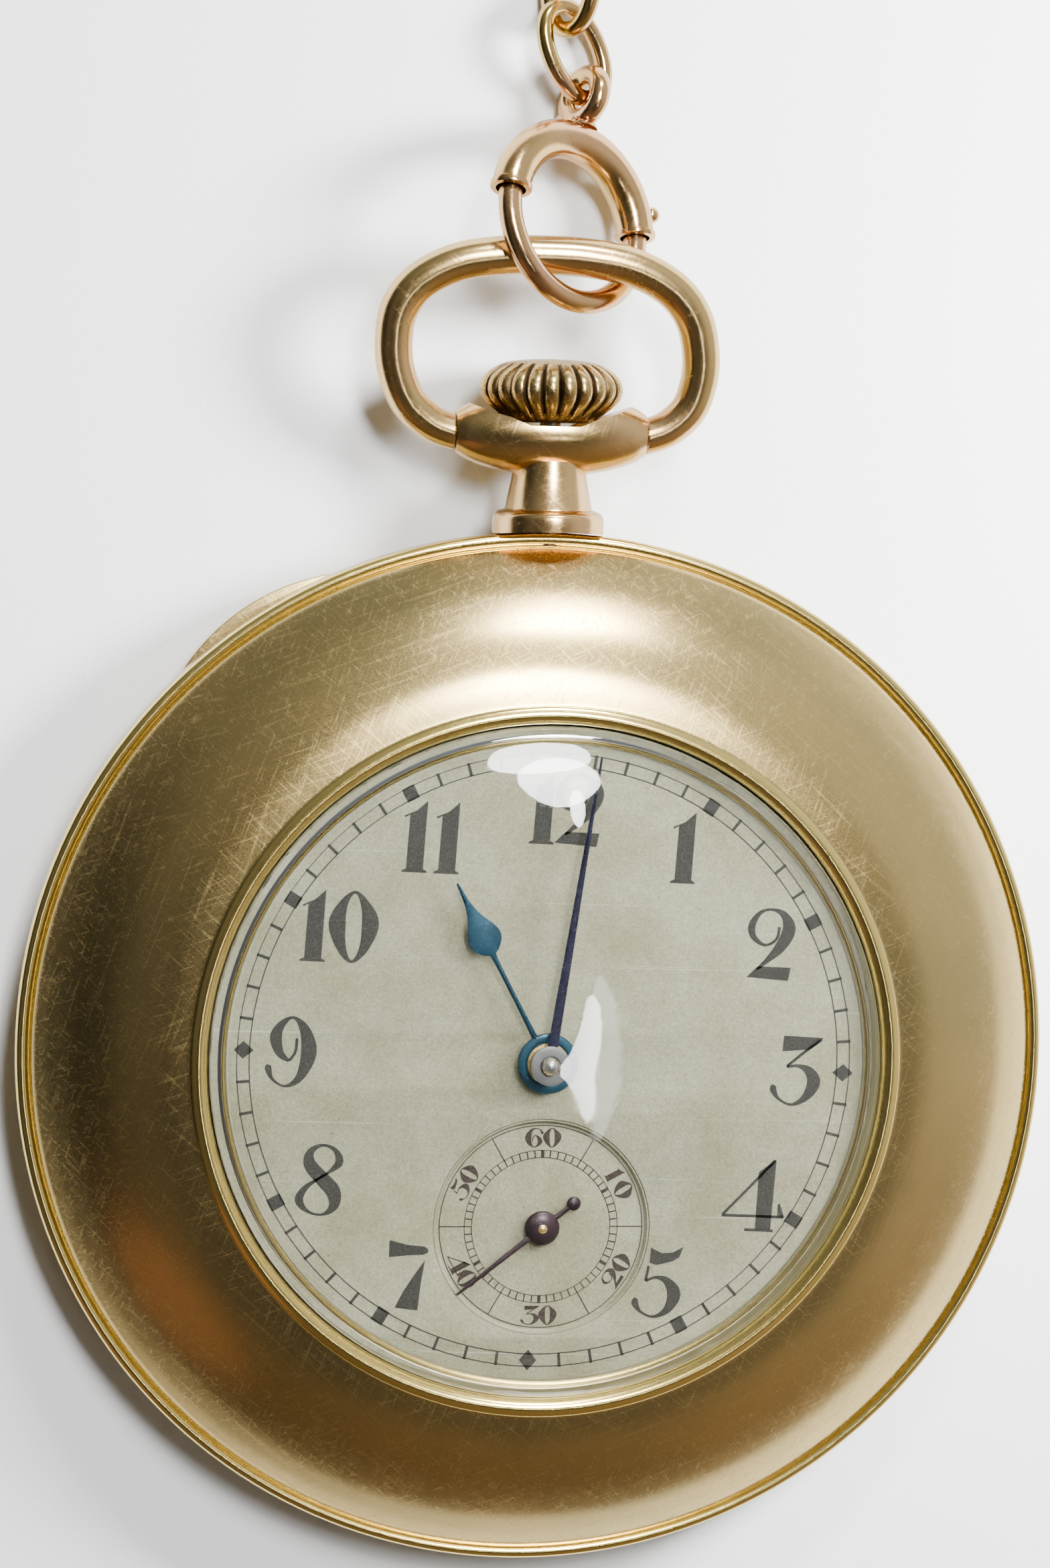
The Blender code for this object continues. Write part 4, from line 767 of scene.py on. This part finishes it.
def crown():
    """Rounded ribs with sharp valleys that run from the foot over the shoulder to a smooth top."""
    outline = curve_through([
        (0.54, 0.1), (1.5, 0.02), (1.98, 0.06), (2.5, 0.42), (3.02, 0.84), (3.32, 1.2), (3.42, 1.6),
        (3.3, 2.05),
        (2.95, 2.44), (2.45, 2.74), (1.9, 2.9), (1.0, 3.0), (0.0, 3.03),
    ], 4)
    per_rib = 12

    def ribs(radius, height, angle):
        share = (angle / TURN * CROWN_RIBS) % 1.0
        valley = 1.0 - sqrt(max(0.0, 1.0 - (2 * share - 1) ** 2 * 0.96))
        fade = min(1.0, max(0.0, (radius - 1.7) / 0.9)) * (1.0 if height > 0.05 else 0.3)
        return -0.34 * valley * fade

    solid = bmesh.new()
    profile = [(0.0, 1.7), (0.54, 1.7)] + outline
    revolve(solid, profile, CROWN_RIBS * per_rib, ALONG_Y @ Matrix.Translation((0, 0, CROWN_START)), ribs)
    thing = to_object("crown_ribbed", solid, "crown_gold", 60)
    # Painted shade: the valley faces between the ribs take a near-black finish, darker than the ribs
    thing.data.materials.append(FINISHES["crown_valley_shade"])
    for face in thing.data.polygons:
        across, up = face.center.x / MM, STEM_HEIGHT - face.center.z / MM
        share = (atan2(up, across) / TURN * CROWN_RIBS) % 1.0
        if abs(share - 0.5) > 0.34 and hypot(across, up) > 2.3:
            face.material_index = 1
    piece(thing, "stem", ["crown"])


def bow():
    half = [
        (3.9, -0.12), (4.8, 0.02), (5.8, 0.45), (6.78, 1.4), (7.3, 2.9), (7.35, 4.35),
        (7.0, 5.8), (6.0, 7.05), (4.2, 7.98), (2.0, 8.37), (0.0, 8.44),
    ]
    whole = half + [(-x, y) for x, y in half[-2::-1]]
    path = [(x - BOW_LEAN * y, y, 0.0) for x, y in curve_through(whole, 6)]
    radii = [BOW_WIRE + BOW_SWELL * sin(pi * i / (len(path) - 1)) for i in range(len(path))]
    at = Matrix.Translation((0, YOKE_Y, STEM_HEIGHT)) @ Matrix.Rotation(BOW_RAISED, 4, "X")
    solid = bmesh.new()
    tube(solid, [at @ Vector(p) for p in path], radii, 40)
    thing = to_object("bow_loop", solid, "bow_gold", 60)
    solid = bmesh.new()
    prism(solid, [(-4.68, 27.5), (4.68, 27.5), (4.68, 31.7), (-4.68, 31.7)], -1, 8)
    shape_with(thing, [to_object("bow_gap", solid, "bow_gold")])
    pivots = [
        along_x(f"bow_pivot_{side}", side * 3.7, side * 5.3, BOW_PIVOT)
        for side in (-1, 1)
    ]
    shape_with(thing, joined=pivots)
    piece(thing, "bow", ["bow"])


# ---------------------------------------------------------------- bolt ring and links


RING_CENTRE = Vector((0.8, 39.68, 3.83))
RING_NORMAL = Vector((0.55, 0.25, 0.8)).normalized()
RING_ZERO = Vector((-0.446, 0.894, -0.032))
RING_MAJOR = 3.98
TUBE_START = radians(-120.6)
TUBE_END = radians(49.9)
EYE_ANGLE = radians(-38)


def ring_matrix():
    zero = (RING_ZERO - RING_NORMAL * RING_ZERO.dot(RING_NORMAL)).normalized()
    turn = Matrix((zero, RING_NORMAL.cross(zero), RING_NORMAL)).transposed().to_4x4()
    return Matrix.Translation(RING_CENTRE) @ turn


RING = ring_matrix()


def ring_point(angle, reach=RING_MAJOR, lift=0.0):
    return RING @ Vector((*polar(reach, angle), lift))


def bent(solid, sections, sides, hollow=None):
    """A tube bent round the ring's axis through (angle, radius) sections, with a bore if hollow."""
    def loop(radius, angle):
        return [ring_point(angle, RING_MAJOR + across, lift) for across, lift in ring_points(radius, sides)]

    rows = [loop(radius, angle) for angle, radius in sections]
    if hollow:
        rows += [loop(hollow, angle) for angle, _ in sections[::-1]]
    skin(solid, rows, cyclic_rows=bool(hollow))


def ring_tube():
    rim = radians(4.2)
    edge = radians(0.9)
    sections = [
        (TUBE_START, 0.96), (TUBE_START + edge, 1.0), (TUBE_START + rim - edge, 1.0),
        (TUBE_START + rim, 0.92),
    ]
    steps = 60
    inner_start, inner_end = TUBE_START + rim + edge, TUBE_END - rim - edge
    for i in range(steps + 1):
        share = i / steps
        swell = 0.92 + 0.03 * sin(pi * share)
        sections.append((inner_start + (inner_end - inner_start) * share, swell))
    sections += [
        (TUBE_END - rim, 0.92), (TUBE_END - rim + edge, 1.0), (TUBE_END - edge, 1.0), (TUBE_END, 0.96),
    ]
    solid = bmesh.new()
    bent(solid, sections, 36, hollow=0.72)
    thing = to_object("ring_shell", solid, "rose_gold", 50)
    slot = bmesh.new()
    start, end = radians(-109), radians(-65)
    rows = []
    for i in range(13):
        angle = start + (end - start) * i / 12
        rows.append([
            ring_point(angle, RING_MAJOR + 0.85 + across, lift) for across, lift in ring_points(0.3, 16)
        ])
    skin(slot, rows)
    shape_with(thing, [to_object("trigger_slot", slot, "rose_gold")])
    piece(thing, "bolt_ring", ["ring_tube"])
    eye = bmesh.new()
    loop = [ring_point(EYE_ANGLE, EYE_REACH + across, lift) for across, lift in ring_points(EYE_RADIUS, 48)]
    tube(eye, loop, 0.51, 24, cyclic=True)
    foot = curve_through([(4.75, 0.78), (4.95, 0.72), (5.15, 0.56), (5.4, 0.5)], 4)
    tube(eye, [ring_point(EYE_ANGLE, reach) for reach, _ in foot], [radius for _, radius in foot], 24)
    piece(to_object("ring_eye", eye, "rose_gold", 60), "bolt_ring")


def ring_bolt():
    start, end = TUBE_END - radians(4), TUBE_START + TURN + radians(26)
    solid = bmesh.new()
    bent(solid, [(start + (end - start) * i / 72, BOLT_WIRE) for i in range(73)], 32)
    aim = radians(-105)
    stem = [ring_point(aim, RING_MAJOR + reach) for reach in (0.2, 0.6, 1.0, 1.2)]
    tube(solid, stem, 0.2, 16)
    ball(solid, ring_point(aim, RING_MAJOR + 1.32), 0.4)
    piece(to_object("bolt_wire", solid, "rose_gold", 60), "bolt", ["ring_bolt"])


def link(name, start, along, across, body, node):
    """An oval link of round wire whose near end passes the given point."""
    along = Vector(along).normalized()
    across = Vector(across)
    across = (across - along * across.dot(along)).normalized()
    half_width, half_length = 1.5, 2.3
    middle = Vector(start) + along * half_length
    steps = 72
    path = []
    for i in range(steps):
        angle = TURN * i / steps
        sideways = half_width * copysign(abs(cos(angle)) ** 0.9, cos(angle))
        path.append(middle + across * sideways + along * half_length * sin(angle))
    solid = bmesh.new()
    tube(solid, path, LINK_WIRE, 24, cyclic=True)
    piece(to_object(name, solid, "rose_gold", 60), body, [node])


def links():
    eye = ring_point(EYE_ANGLE, EYE_REACH)
    start = eye + Vector((0.5, 0.06, -0.25))
    along = Vector((-0.44, 0.896, 0.065)).normalized()
    link("chain_oval_1", start, along, (-0.842, 0.299, 0.4), "first_link", "chain_link_1")
    start = start + along * (4.6 - 1.02) + Vector((0.16, -0.12, 0.28))
    link("chain_oval_2", start, (0.05, 0.998, -0.03), (0.6, 0.0, 0.8), "second_link", "chain_link_2")


# ---------------------------------------------------------------- dial


def flat_curve(outlines, low, high, bevel=0.0):
    """A filled 2D curve between two heights as a mesh object's mesh."""
    curve = bpy.data.curves.new("flat", "CURVE")
    curve.dimensions = "2D"
    curve.fill_mode = "BOTH"
    curve.extrude = (high - low) / 2 - bevel
    curve.bevel_depth = bevel
    curve.bevel_resolution = 2
    curve.offset = -bevel
    for outline in outlines:
        spline = curve.splines.new("POLY")
        spline.points.add(len(outline) - 1)
        for point, (x, y) in zip(spline.points, outline):
            point.co = (x, y, 0.0, 1.0)
        spline.use_cyclic_u = True
    guide = bpy.data.objects.new("flat_guide", curve)
    bpy.context.scene.collection.objects.link(guide)
    bpy.context.view_layer.update()
    mesh = bpy.data.meshes.new_from_object(guide.evaluated_get(bpy.context.evaluated_depsgraph_get()))
    bpy.data.objects.remove(guide, do_unlink=True)
    solid = bmesh.new()
    solid.from_mesh(mesh)
    bmesh.ops.remove_doubles(solid, verts=solid.verts, dist=1e-4)
    bmesh.ops.translate(solid, vec=(0, 0, (low + high) / 2), verts=solid.verts)
    return solid


def dial_plate():
    solid = flat_curve(
        [ring_points(18.25, 160), ring_points(5.18, 96, SUBDIAL_CENTRE), ring_points(1.1, 48)],
        7.0, DIAL_TOP, 0.05,
    )
    piece(to_object("dial_plate", solid, "dial_silver"), "case", ["dial"])
    profile = [
        (0.36, 6.96), (5.16, 6.96), (5.16, 7.36), (5.1, 7.36), (5.02, 7.22), (4.97, SUBDIAL_TOP),
        (0.36, SUBDIAL_TOP),
    ]
    sunk = turned("seconds_dial", profile, "dial_silver", 96, AT_SUBDIAL)
    piece(sunk, "case", ["subdial"])


def stroke(points, cyclic=False):
    """The outline of a pen stroke through (x, y, width) points, as two edges of equal length."""
    path = curve_through(points, 5, cyclic)
    left, right = [], []
    count = len(path)
    for i, (x, y, width) in enumerate(path):
        before = path[i - 1] if cyclic or i else path[0]
        after = path[(i + 1) % count] if cyclic or i < count - 1 else path[-1]
        dx, dy = after[0] - before[0], after[1] - before[1]
        length = hypot(dx, dy) or 1.0
        nx, ny = -dy / length * width / 2, dx / length * width / 2
        left.append((x + nx, y + ny))
        right.append((x - nx, y - ny))
    return left, right


# Numerals of heavy stems and hairlines, about 3.2 mm tall round their middle. A list of points with
# widths is a pen stroke, closed if it is marked so, and a list of plain points is a filled shape.
ZERO = [("loop", [
    (0.0, 1.56, 0.1), (0.42, 1.12, 0.36), (0.74, 0.2, 0.76), (0.5, -0.95, 0.42),
    (0.0, -1.56, 0.1), (-0.45, -1.05, 0.38), (-0.74, 0.12, 0.76), (-0.46, 1.1, 0.36),
])]
ONE = [("shape", [
    (-0.6, 0.92), (-0.06, 1.16), (0.42, 1.62), (0.36, -1.46), (0.52, -1.54), (0.52, -1.62),
    (-0.6, -1.62), (-0.6, -1.54), (-0.4, -1.45), (-0.34, 0.97), (-0.56, 0.83),
])]
TWO = [
    ("line", [
        (0.35, 0.8, 0.05), (0.25, 0.25, 0.07), (-0.25, -0.05, 0.1), (-0.8, 0.3, 0.26), (-0.9, 0.85, 0.33),
        (-0.55, 1.42, 0.18), (0.0, 1.58, 0.12), (0.55, 1.34, 0.34), (0.8, 0.7, 0.6), (0.45, -0.1, 0.5),
        (-0.12, -0.75, 0.24), (-0.55, -1.15, 0.12),
    ]),
    ("shape", [(-1.02, -1.53), (-0.52, -1.02), (0.99, -1.03), (0.89, -1.64)]),
]
THREE = [
    ("shape", [(-0.64, 1.6), (-0.66, 0.88), (0.62, 1.02), (1.2, 1.56)]),
    ("line", [(1.12, 1.48, 0.09), (0.32, 0.86, 0.08), (-0.42, 0.2, 0.1)]),
    ("line", [
        (-0.42, 0.18, 0.08), (0.1, 0.24, 0.16), (0.6, 0.02, 0.42), (0.86, -0.5, 0.62), (0.52, -1.18, 0.36),
        (-0.1, -1.54, 0.1), (-0.7, -1.3, 0.12), (-0.98, -0.88, 0.3), (-0.93, -0.68, 0.22),
    ]),
]
FOUR = [
    ("shape", [(0.92, 1.66), (0.84, -1.58), (0.12, -1.58), (0.14, 1.05)]),
    ("line", [(0.86, 1.6, 0.1), (-0.3, 0.28, 0.1), (-1.4, -0.95, 0.1)]),
    ("line", [(-1.42, -0.98, 0.11), (0.0, -0.98, 0.1), (1.41, -1.0, 0.1)]),
    ("shape", [(1.12, -0.98), (1.1, -0.42), (1.2, -0.36), (1.44, -1.02)]),
    ("line", [(-0.36, -1.62, 0.08), (0.3, -1.62, 0.08), (0.96, -1.64, 0.08)]),
]
FIVE = [
    ("shape", [
        (-0.4, 1.62), (-0.42, 0.92), (-0.1, 0.82), (0.25, 0.92), (0.62, 1.02), (0.92, 1.22),
        (1.08, 1.7), (0.6, 1.42), (0.1, 1.38),
    ]),
    ("line", [(-0.46, 0.78, 0.08), (-0.5, 0.45, 0.08), (-0.56, 0.08, 0.09)]),
    ("line", [
        (-0.56, 0.08, 0.08), (-0.1, 0.26, 0.14), (0.42, 0.1, 0.36), (0.78, -0.5, 0.62), (0.5, -1.22, 0.36),
        (-0.1, -1.56, 0.1), (-0.7, -1.34, 0.12), (-0.98, -0.94, 0.32), (-0.9, -0.74, 0.2),
    ]),
]
SEVEN = [
    ("shape", [
        (-0.85, 1.58), (-0.84, 0.8), (0.1, 0.92), (0.7, 0.96), (0.9, 1.06), (0.92, 1.2), (0.75, 1.34),
        (0.0, 1.38),
    ]),
    ("shape", [(0.79, 0.72), (0.66, -0.35), (0.58, -1.6), (-0.46, -1.5), (-0.14, -0.8), (0.32, 0.0)]),
]
EIGHT = [("loop", [
    (0.1, 1.58, 0.1), (-0.42, 1.28, 0.32), (-0.45, 0.72, 0.56), (0.1, 0.1, 0.64), (0.66, -0.5, 0.66),
    (0.72, -1.15, 0.44), (0.25, -1.56, 0.12), (-0.4, -1.46, 0.14), (-0.84, -0.96, 0.38), (-0.6, -0.4, 0.26),
    (-0.1, 0.0, 0.08), (0.42, 0.36, 0.1), (0.86, 0.82, 0.36), (0.66, 1.36, 0.22),
])]
NINE = [
    ("line", [
        (-0.98, -0.62, 0.2), (-1.0, -0.82, 0.3), (-0.78, -1.28, 0.13), (-0.2, -1.56, 0.1),
        (0.42, -1.12, 0.38),
        (0.76, 0.0, 0.7), (0.52, 1.02, 0.46), (0.0, 1.54, 0.1), (-0.52, 1.2, 0.34), (-0.74, 0.62, 0.54),
        (-0.52, -0.08, 0.36), (-0.1, -0.42, 0.08),
    ]),
    ("line", [(0.2, 0.62, 0.05), (0.16, 0.0, 0.08), (-0.1, -0.42, 0.08)]),
]


def rotated_half(glyph):
    """A glyph turned upside down, as a six is a nine."""
    return [(kind, [(-p[0], -p[1], *p[2:]) for p in points]) for kind, points in glyph]


DIGITS = {
    "0": ZERO, "1": ONE, "2": TWO, "3": THREE, "4": FOUR, "5": FIVE, "6": rotated_half(NINE),
    "7": SEVEN, "8": EIGHT, "9": NINE,
}


def ribbon(solid, left, right, z, cyclic):
    """A thin printed band between two edges."""
    top = z + PRINT_THICKNESS
    rows = []
    for (ax, ay), (bx, by) in zip(left, right):
        rows.append([(ax, ay, z), (bx, by, z), (bx, by, top), (ax, ay, top)])
    skin(solid, rows, cyclic_rows=cyclic)


def draw_digit(solid, digit, at, scale, z, weight=1.0):
    """Print one digit. at maps its flat points to the dial, and weight thickens its hairlines."""
    def put(point):
        x, y = point[0] * scale[0], point[1] * scale[1]
        spot = at @ Vector((x, y, 0))
        return (spot.x, spot.y)

    for kind, points in DIGITS[digit]:
        if kind == "shape":
            prism(solid, [put(p) for p in points], z, z + PRINT_THICKNESS)
        else:
            heavy = [(x, y, max(width, 0.13) * weight) for x, y, width in points]
            left, right = stroke(heavy, kind == "loop")
            ribbon(solid, [put(p) for p in left], [put(p) for p in right], z, kind == "loop")


def number(solid, text, centre, spacing, scale, z, turn=0.0, weight=1.0):
    """Digits side by side round a centre, turned clockwise by an angle."""
    at = Matrix.Translation((*centre, 0)) @ Matrix.Rotation(-turn, 4, "Z")
    for i, digit in enumerate(text):
        offset = (i - (len(text) - 1) / 2) * spacing
        aside = Matrix.Translation((offset, 0, 0))
        draw_digit(solid, digit, at @ aside, scale, z, weight)


def annulus(solid, radius, width, z, centre=(0.0, 0.0), count=180):
    """A printed circle."""
    outer = ring_points(radius + width / 2, count, centre)
    inner = ring_points(radius - width / 2, count, centre)
    ribbon(solid, outer, inner, z, True)


def mark(solid, angle, inner, outer, width, z, centre=(0.0, 0.0)):
    """A straight mark along a radius. The angle is clockwise from twelve."""
    aim = pi / 2 - angle
    out = Vector((cos(aim), sin(aim)))
    side = Vector((-out.y, out.x)) * width / 2
    base = Vector(centre)
    corners = [
        base + out * inner - side, base + out * outer - side, base + out * outer + side,
        base + out * inner + side,
    ]
    prism(solid, [(c.x, c.y) for c in corners], z, z + PRINT_THICKNESS)


def diamond(solid, angle, radius, half_long, half_wide, z):
    aim = pi / 2 - angle
    out = Vector((cos(aim), sin(aim)))
    side = Vector((-out.y, out.x))
    middle = out * radius
    corners = [
        middle + out * half_long, middle + side * half_wide, middle - out * half_long,
        middle - side * half_wide,
    ]
    prism(solid, [(c.x, c.y) for c in corners], z, z + PRINT_THICKNESS)


HOUR_SPACING = {"10": 1.82, "11": 1.52, "12": 1.66}
NUMERAL_SCALE = (1.06, 1.05)
PRINT_TURN = radians(-2.0)


def dial_print():
    z = DIAL_TOP + PRINT_GAP
    solid = bmesh.new()
    for hour in (1, 2, 3, 4, 5, 7, 8, 9, 10, 11, 12):
        angle = TURN * hour / 12
        radius = 12.05 if hour not in (10, 11, 12) else 12.0
        centre = (radius * sin(angle), radius * cos(angle))
        number(solid, str(hour), centre, HOUR_SPACING.get(str(hour), 0.0), NUMERAL_SCALE, z)
    for radius in (14.05, 14.67):
        annulus(solid, radius, 0.05, z)
    for minute in range(60):
        angle = TURN * minute / 60
        if minute % 15 == 0:
            diamond(solid, angle, 14.36, 0.52, 0.42, z)
        elif minute % 5 == 0:
            mark(solid, angle, 13.98, 14.74, 0.62, z)
        else:
            mark(solid, angle, 14.05, 14.74, 0.14, z)
    bmesh.ops.rotate(solid, cent=(0, 0, 0), matrix=Matrix.Rotation(PRINT_TURN, 3, "Z"), verts=solid.verts)
    piece(to_object("hour_print", solid, "ink"), "case")


def seconds_print():
    z = SUBDIAL_TOP + PRINT_GAP
    solid = bmesh.new()
    centre = SUBDIAL_CENTRE
    for radius, width in ((3.32, 0.035), (3.67, 0.035), (4.86, 0.045)):
        annulus(solid, radius, width, z, centre, count=120)
    for second in range(60):
        angle = TURN * second / 60
        if second % 10 == 5:
            mark(solid, angle, 3.32, 4.86, 0.05, z, centre)
        else:
            width = 0.16 if second % 10 == 0 else 0.06
            mark(solid, angle, 3.32, 3.67, width, z, centre)
    for value in (60, 10, 20, 30, 40, 50):
        angle = TURN * value / 60
        upright = value in (60, 10, 50)
        turn = angle if upright else angle + pi
        spot = (centre[0] + 4.27 * sin(angle), centre[1] + 4.27 * cos(angle))
        number(solid, str(value), spot, 0.86, (0.38, 0.29), z, turn, 1.15)
    piece(to_object("seconds_print", solid, "fine_ink"), "case")


# ---------------------------------------------------------------- hands

# The hands as they stand at rest, turned anticlockwise from twelve
HOUR_TURN = radians(28.0)
MINUTE_TURN = radians(-8.2)
SECONDS_TURN = radians(-231.4)


def blade(solid, stations, low, crown, at):
    """A hand's blade: (distance, half width) stations with a ridge along the middle."""
    rows = []
    for reach, half in stations:
        height = crown * min(1.0, half / 0.12)
        section = [
            (-half, 0.0), (-half * 0.96, height * 0.45), (0.0, height), (half * 0.96, height * 0.45),
            (half, 0.0),
        ]
        rows.append([at @ Vector((x, reach, low + z)) for x, z in section])
    skin(solid, rows)


def hour_hand():
    at = Matrix.Rotation(HOUR_TURN, 4, "Z")
    stations = curve_through([(1.25, 0.15), (2.6, 0.12), (4.6, 0.115), (5.65, 0.13)], 4)[:-1]
    stations += curve_through([
        (5.85, 0.16), (6.0, 0.42), (6.35, 0.72), (6.75, 0.8), (7.2, 0.66), (7.8, 0.36), (8.5, 0.16),
        (9.2, 0.09), (9.62, 0.05),
    ], 5)
    solid = bmesh.new()
    blade(solid, stations, 8.02, 0.13, at)
    ring = curve_through(
        [(0.99, 8.02), (0.99, 8.1), (1.12, 8.15), (1.36, 8.13), (1.44, 8.07), (1.42, 8.01)], 4,
    )
    revolve(solid, ring, 72)
    piece(to_object("hour_pear", solid, "blue", 50), "hour", ["hour_hand"])


def minute_hand():
    at = Matrix.Rotation(MINUTE_TURN, 4, "Z")
    solid = bmesh.new()
    stations = curve_through(
        [(0.5, 0.24), (1.6, 0.24), (5.0, 0.2), (10.0, 0.13), (14.3, 0.06), (14.66, 0.03)], 5,
    )
    blade(solid, stations, 8.6, 0.12, at)
    revolve(solid, [(0.61, 8.6), (0.8, 8.6), (0.82, 8.66), (0.78, 8.71), (0.61, 8.71)], 48)
    piece(to_object("minute_sword", solid, "violet", 50), "centre", ["minute_hand"])
    washer = [(0.46, 8.74), (0.9, 8.74), (0.93, 8.8), (0.9, 8.86), (0.52, 8.88), (0.46, 8.84)]
    washer = turned("hand_washer", curve_through(washer, 3, True), "washer_steel", 64, smooth_angle=50)
    piece(washer, "centre")
    post = curve_through([(0.0, 9.37), (0.2, 9.34), (0.36, 9.22), (0.43, 9.04)], 5)
    post += [(0.43, 8.98), (0.36, 8.96), (0.36, 8.7), (0.0, 8.7)]
    piece(turned("hand_post", post, "steel", 48, smooth_angle=50), "centre")


def seconds_hand():
    at = AT_SUBDIAL @ Matrix.Rotation(SECONDS_TURN, 4, "Z")
    solid = bmesh.new()
    stations = curve_through([(0.5, 0.14), (2.0, 0.12), (4.0, 0.09), (5.0, 0.06), (5.1, 0.04)], 4)
    blade(solid, stations, 7.56, 0.1, at)
    blade(solid, [(-0.5, 0.14), (-1.2, 0.12), (-1.85, 0.13)], 7.56, 0.1, at)
    knob = at @ Matrix.Translation((0, -1.9, 7.6))
    bead = curve_through([(0.0, 0.12), (0.2, 0.09), (0.33, 0.02), (0.33, -0.04)], 3)
    revolve(solid, bead + [(0.0, -0.04)], 32, knob)
    dome = curve_through([(0.22, 7.82), (0.5, 7.78), (0.74, 7.68), (0.83, 7.58)], 4)
    revolve(solid, dome + [(0.81, 7.55), (0.22, 7.55)], 64, AT_SUBDIAL)
    piece(to_object("seconds_dauphine", solid, "plum", 50), "fourth", ["seconds_hand"])
    pin = curve_through([(0.0, 7.92), (0.12, 7.9), (0.21, 7.84)], 4) + [(0.21, 7.5), (0.0, 7.5)]
    pin = turned("seconds_pin", pin, "movement_brass", 32, AT_SUBDIAL, 50)
    piece(pin, "fourth")


# ---------------------------------------------------------------- floor and CAD finishes


def make_floor():
    mesh = bpy.data.meshes.new("floor")
    half = 1.2
    mesh.from_pydata(
        [(-half, -half, 0), (half, -half, 0), (half, half, 0), (-half, half, 0)], [], [(0, 1, 2, 3)],
    )
    mesh.materials.append(floor_finish())
    floor = bpy.data.objects.new("floor", mesh)
    floor.location = (0, 0, -0.00002)
    bpy.context.scene.collection.objects.link(floor)


SLOT_FINISH = {
    "gold_case": "gold_case", "rose_gold": "rose_gold", "crown_gold": "crown_gold", "crystal": "crystal",
    "dial_silver": "dial_silver", "blued_steel": "blue", "nickel": "nickel", "ruby": "ruby",
    "movement_brass": "movement_brass", "steel": "steel",
}


def dress_cad_nodes():
    """Give every CAD node the procedural finish of its slot in the record."""
    slots = {part["node"]: part["material_slot"] for part in frame["record"]["subparts"]}
    for name, node in frame["nodes"].items():
        finish = FINISHES[SLOT_FINISH[slots[name]]]
        node.data.materials.clear()
        node.data.materials.append(finish)
        for face in node.data.polygons:
            face.material_index = 0


make_camera()
make_lights()
make_world()
make_floor()
dress_cad_nodes()
bezel()
dial_ring()
crystal()
case_band()
back_cover()
cuvette()
pendant()
bow_yoke()
crown()
bow()
ring_tube()
ring_bolt()
links()
dial_plate()
dial_print()
seconds_print()
hour_hand()
minute_hand()
seconds_hand()
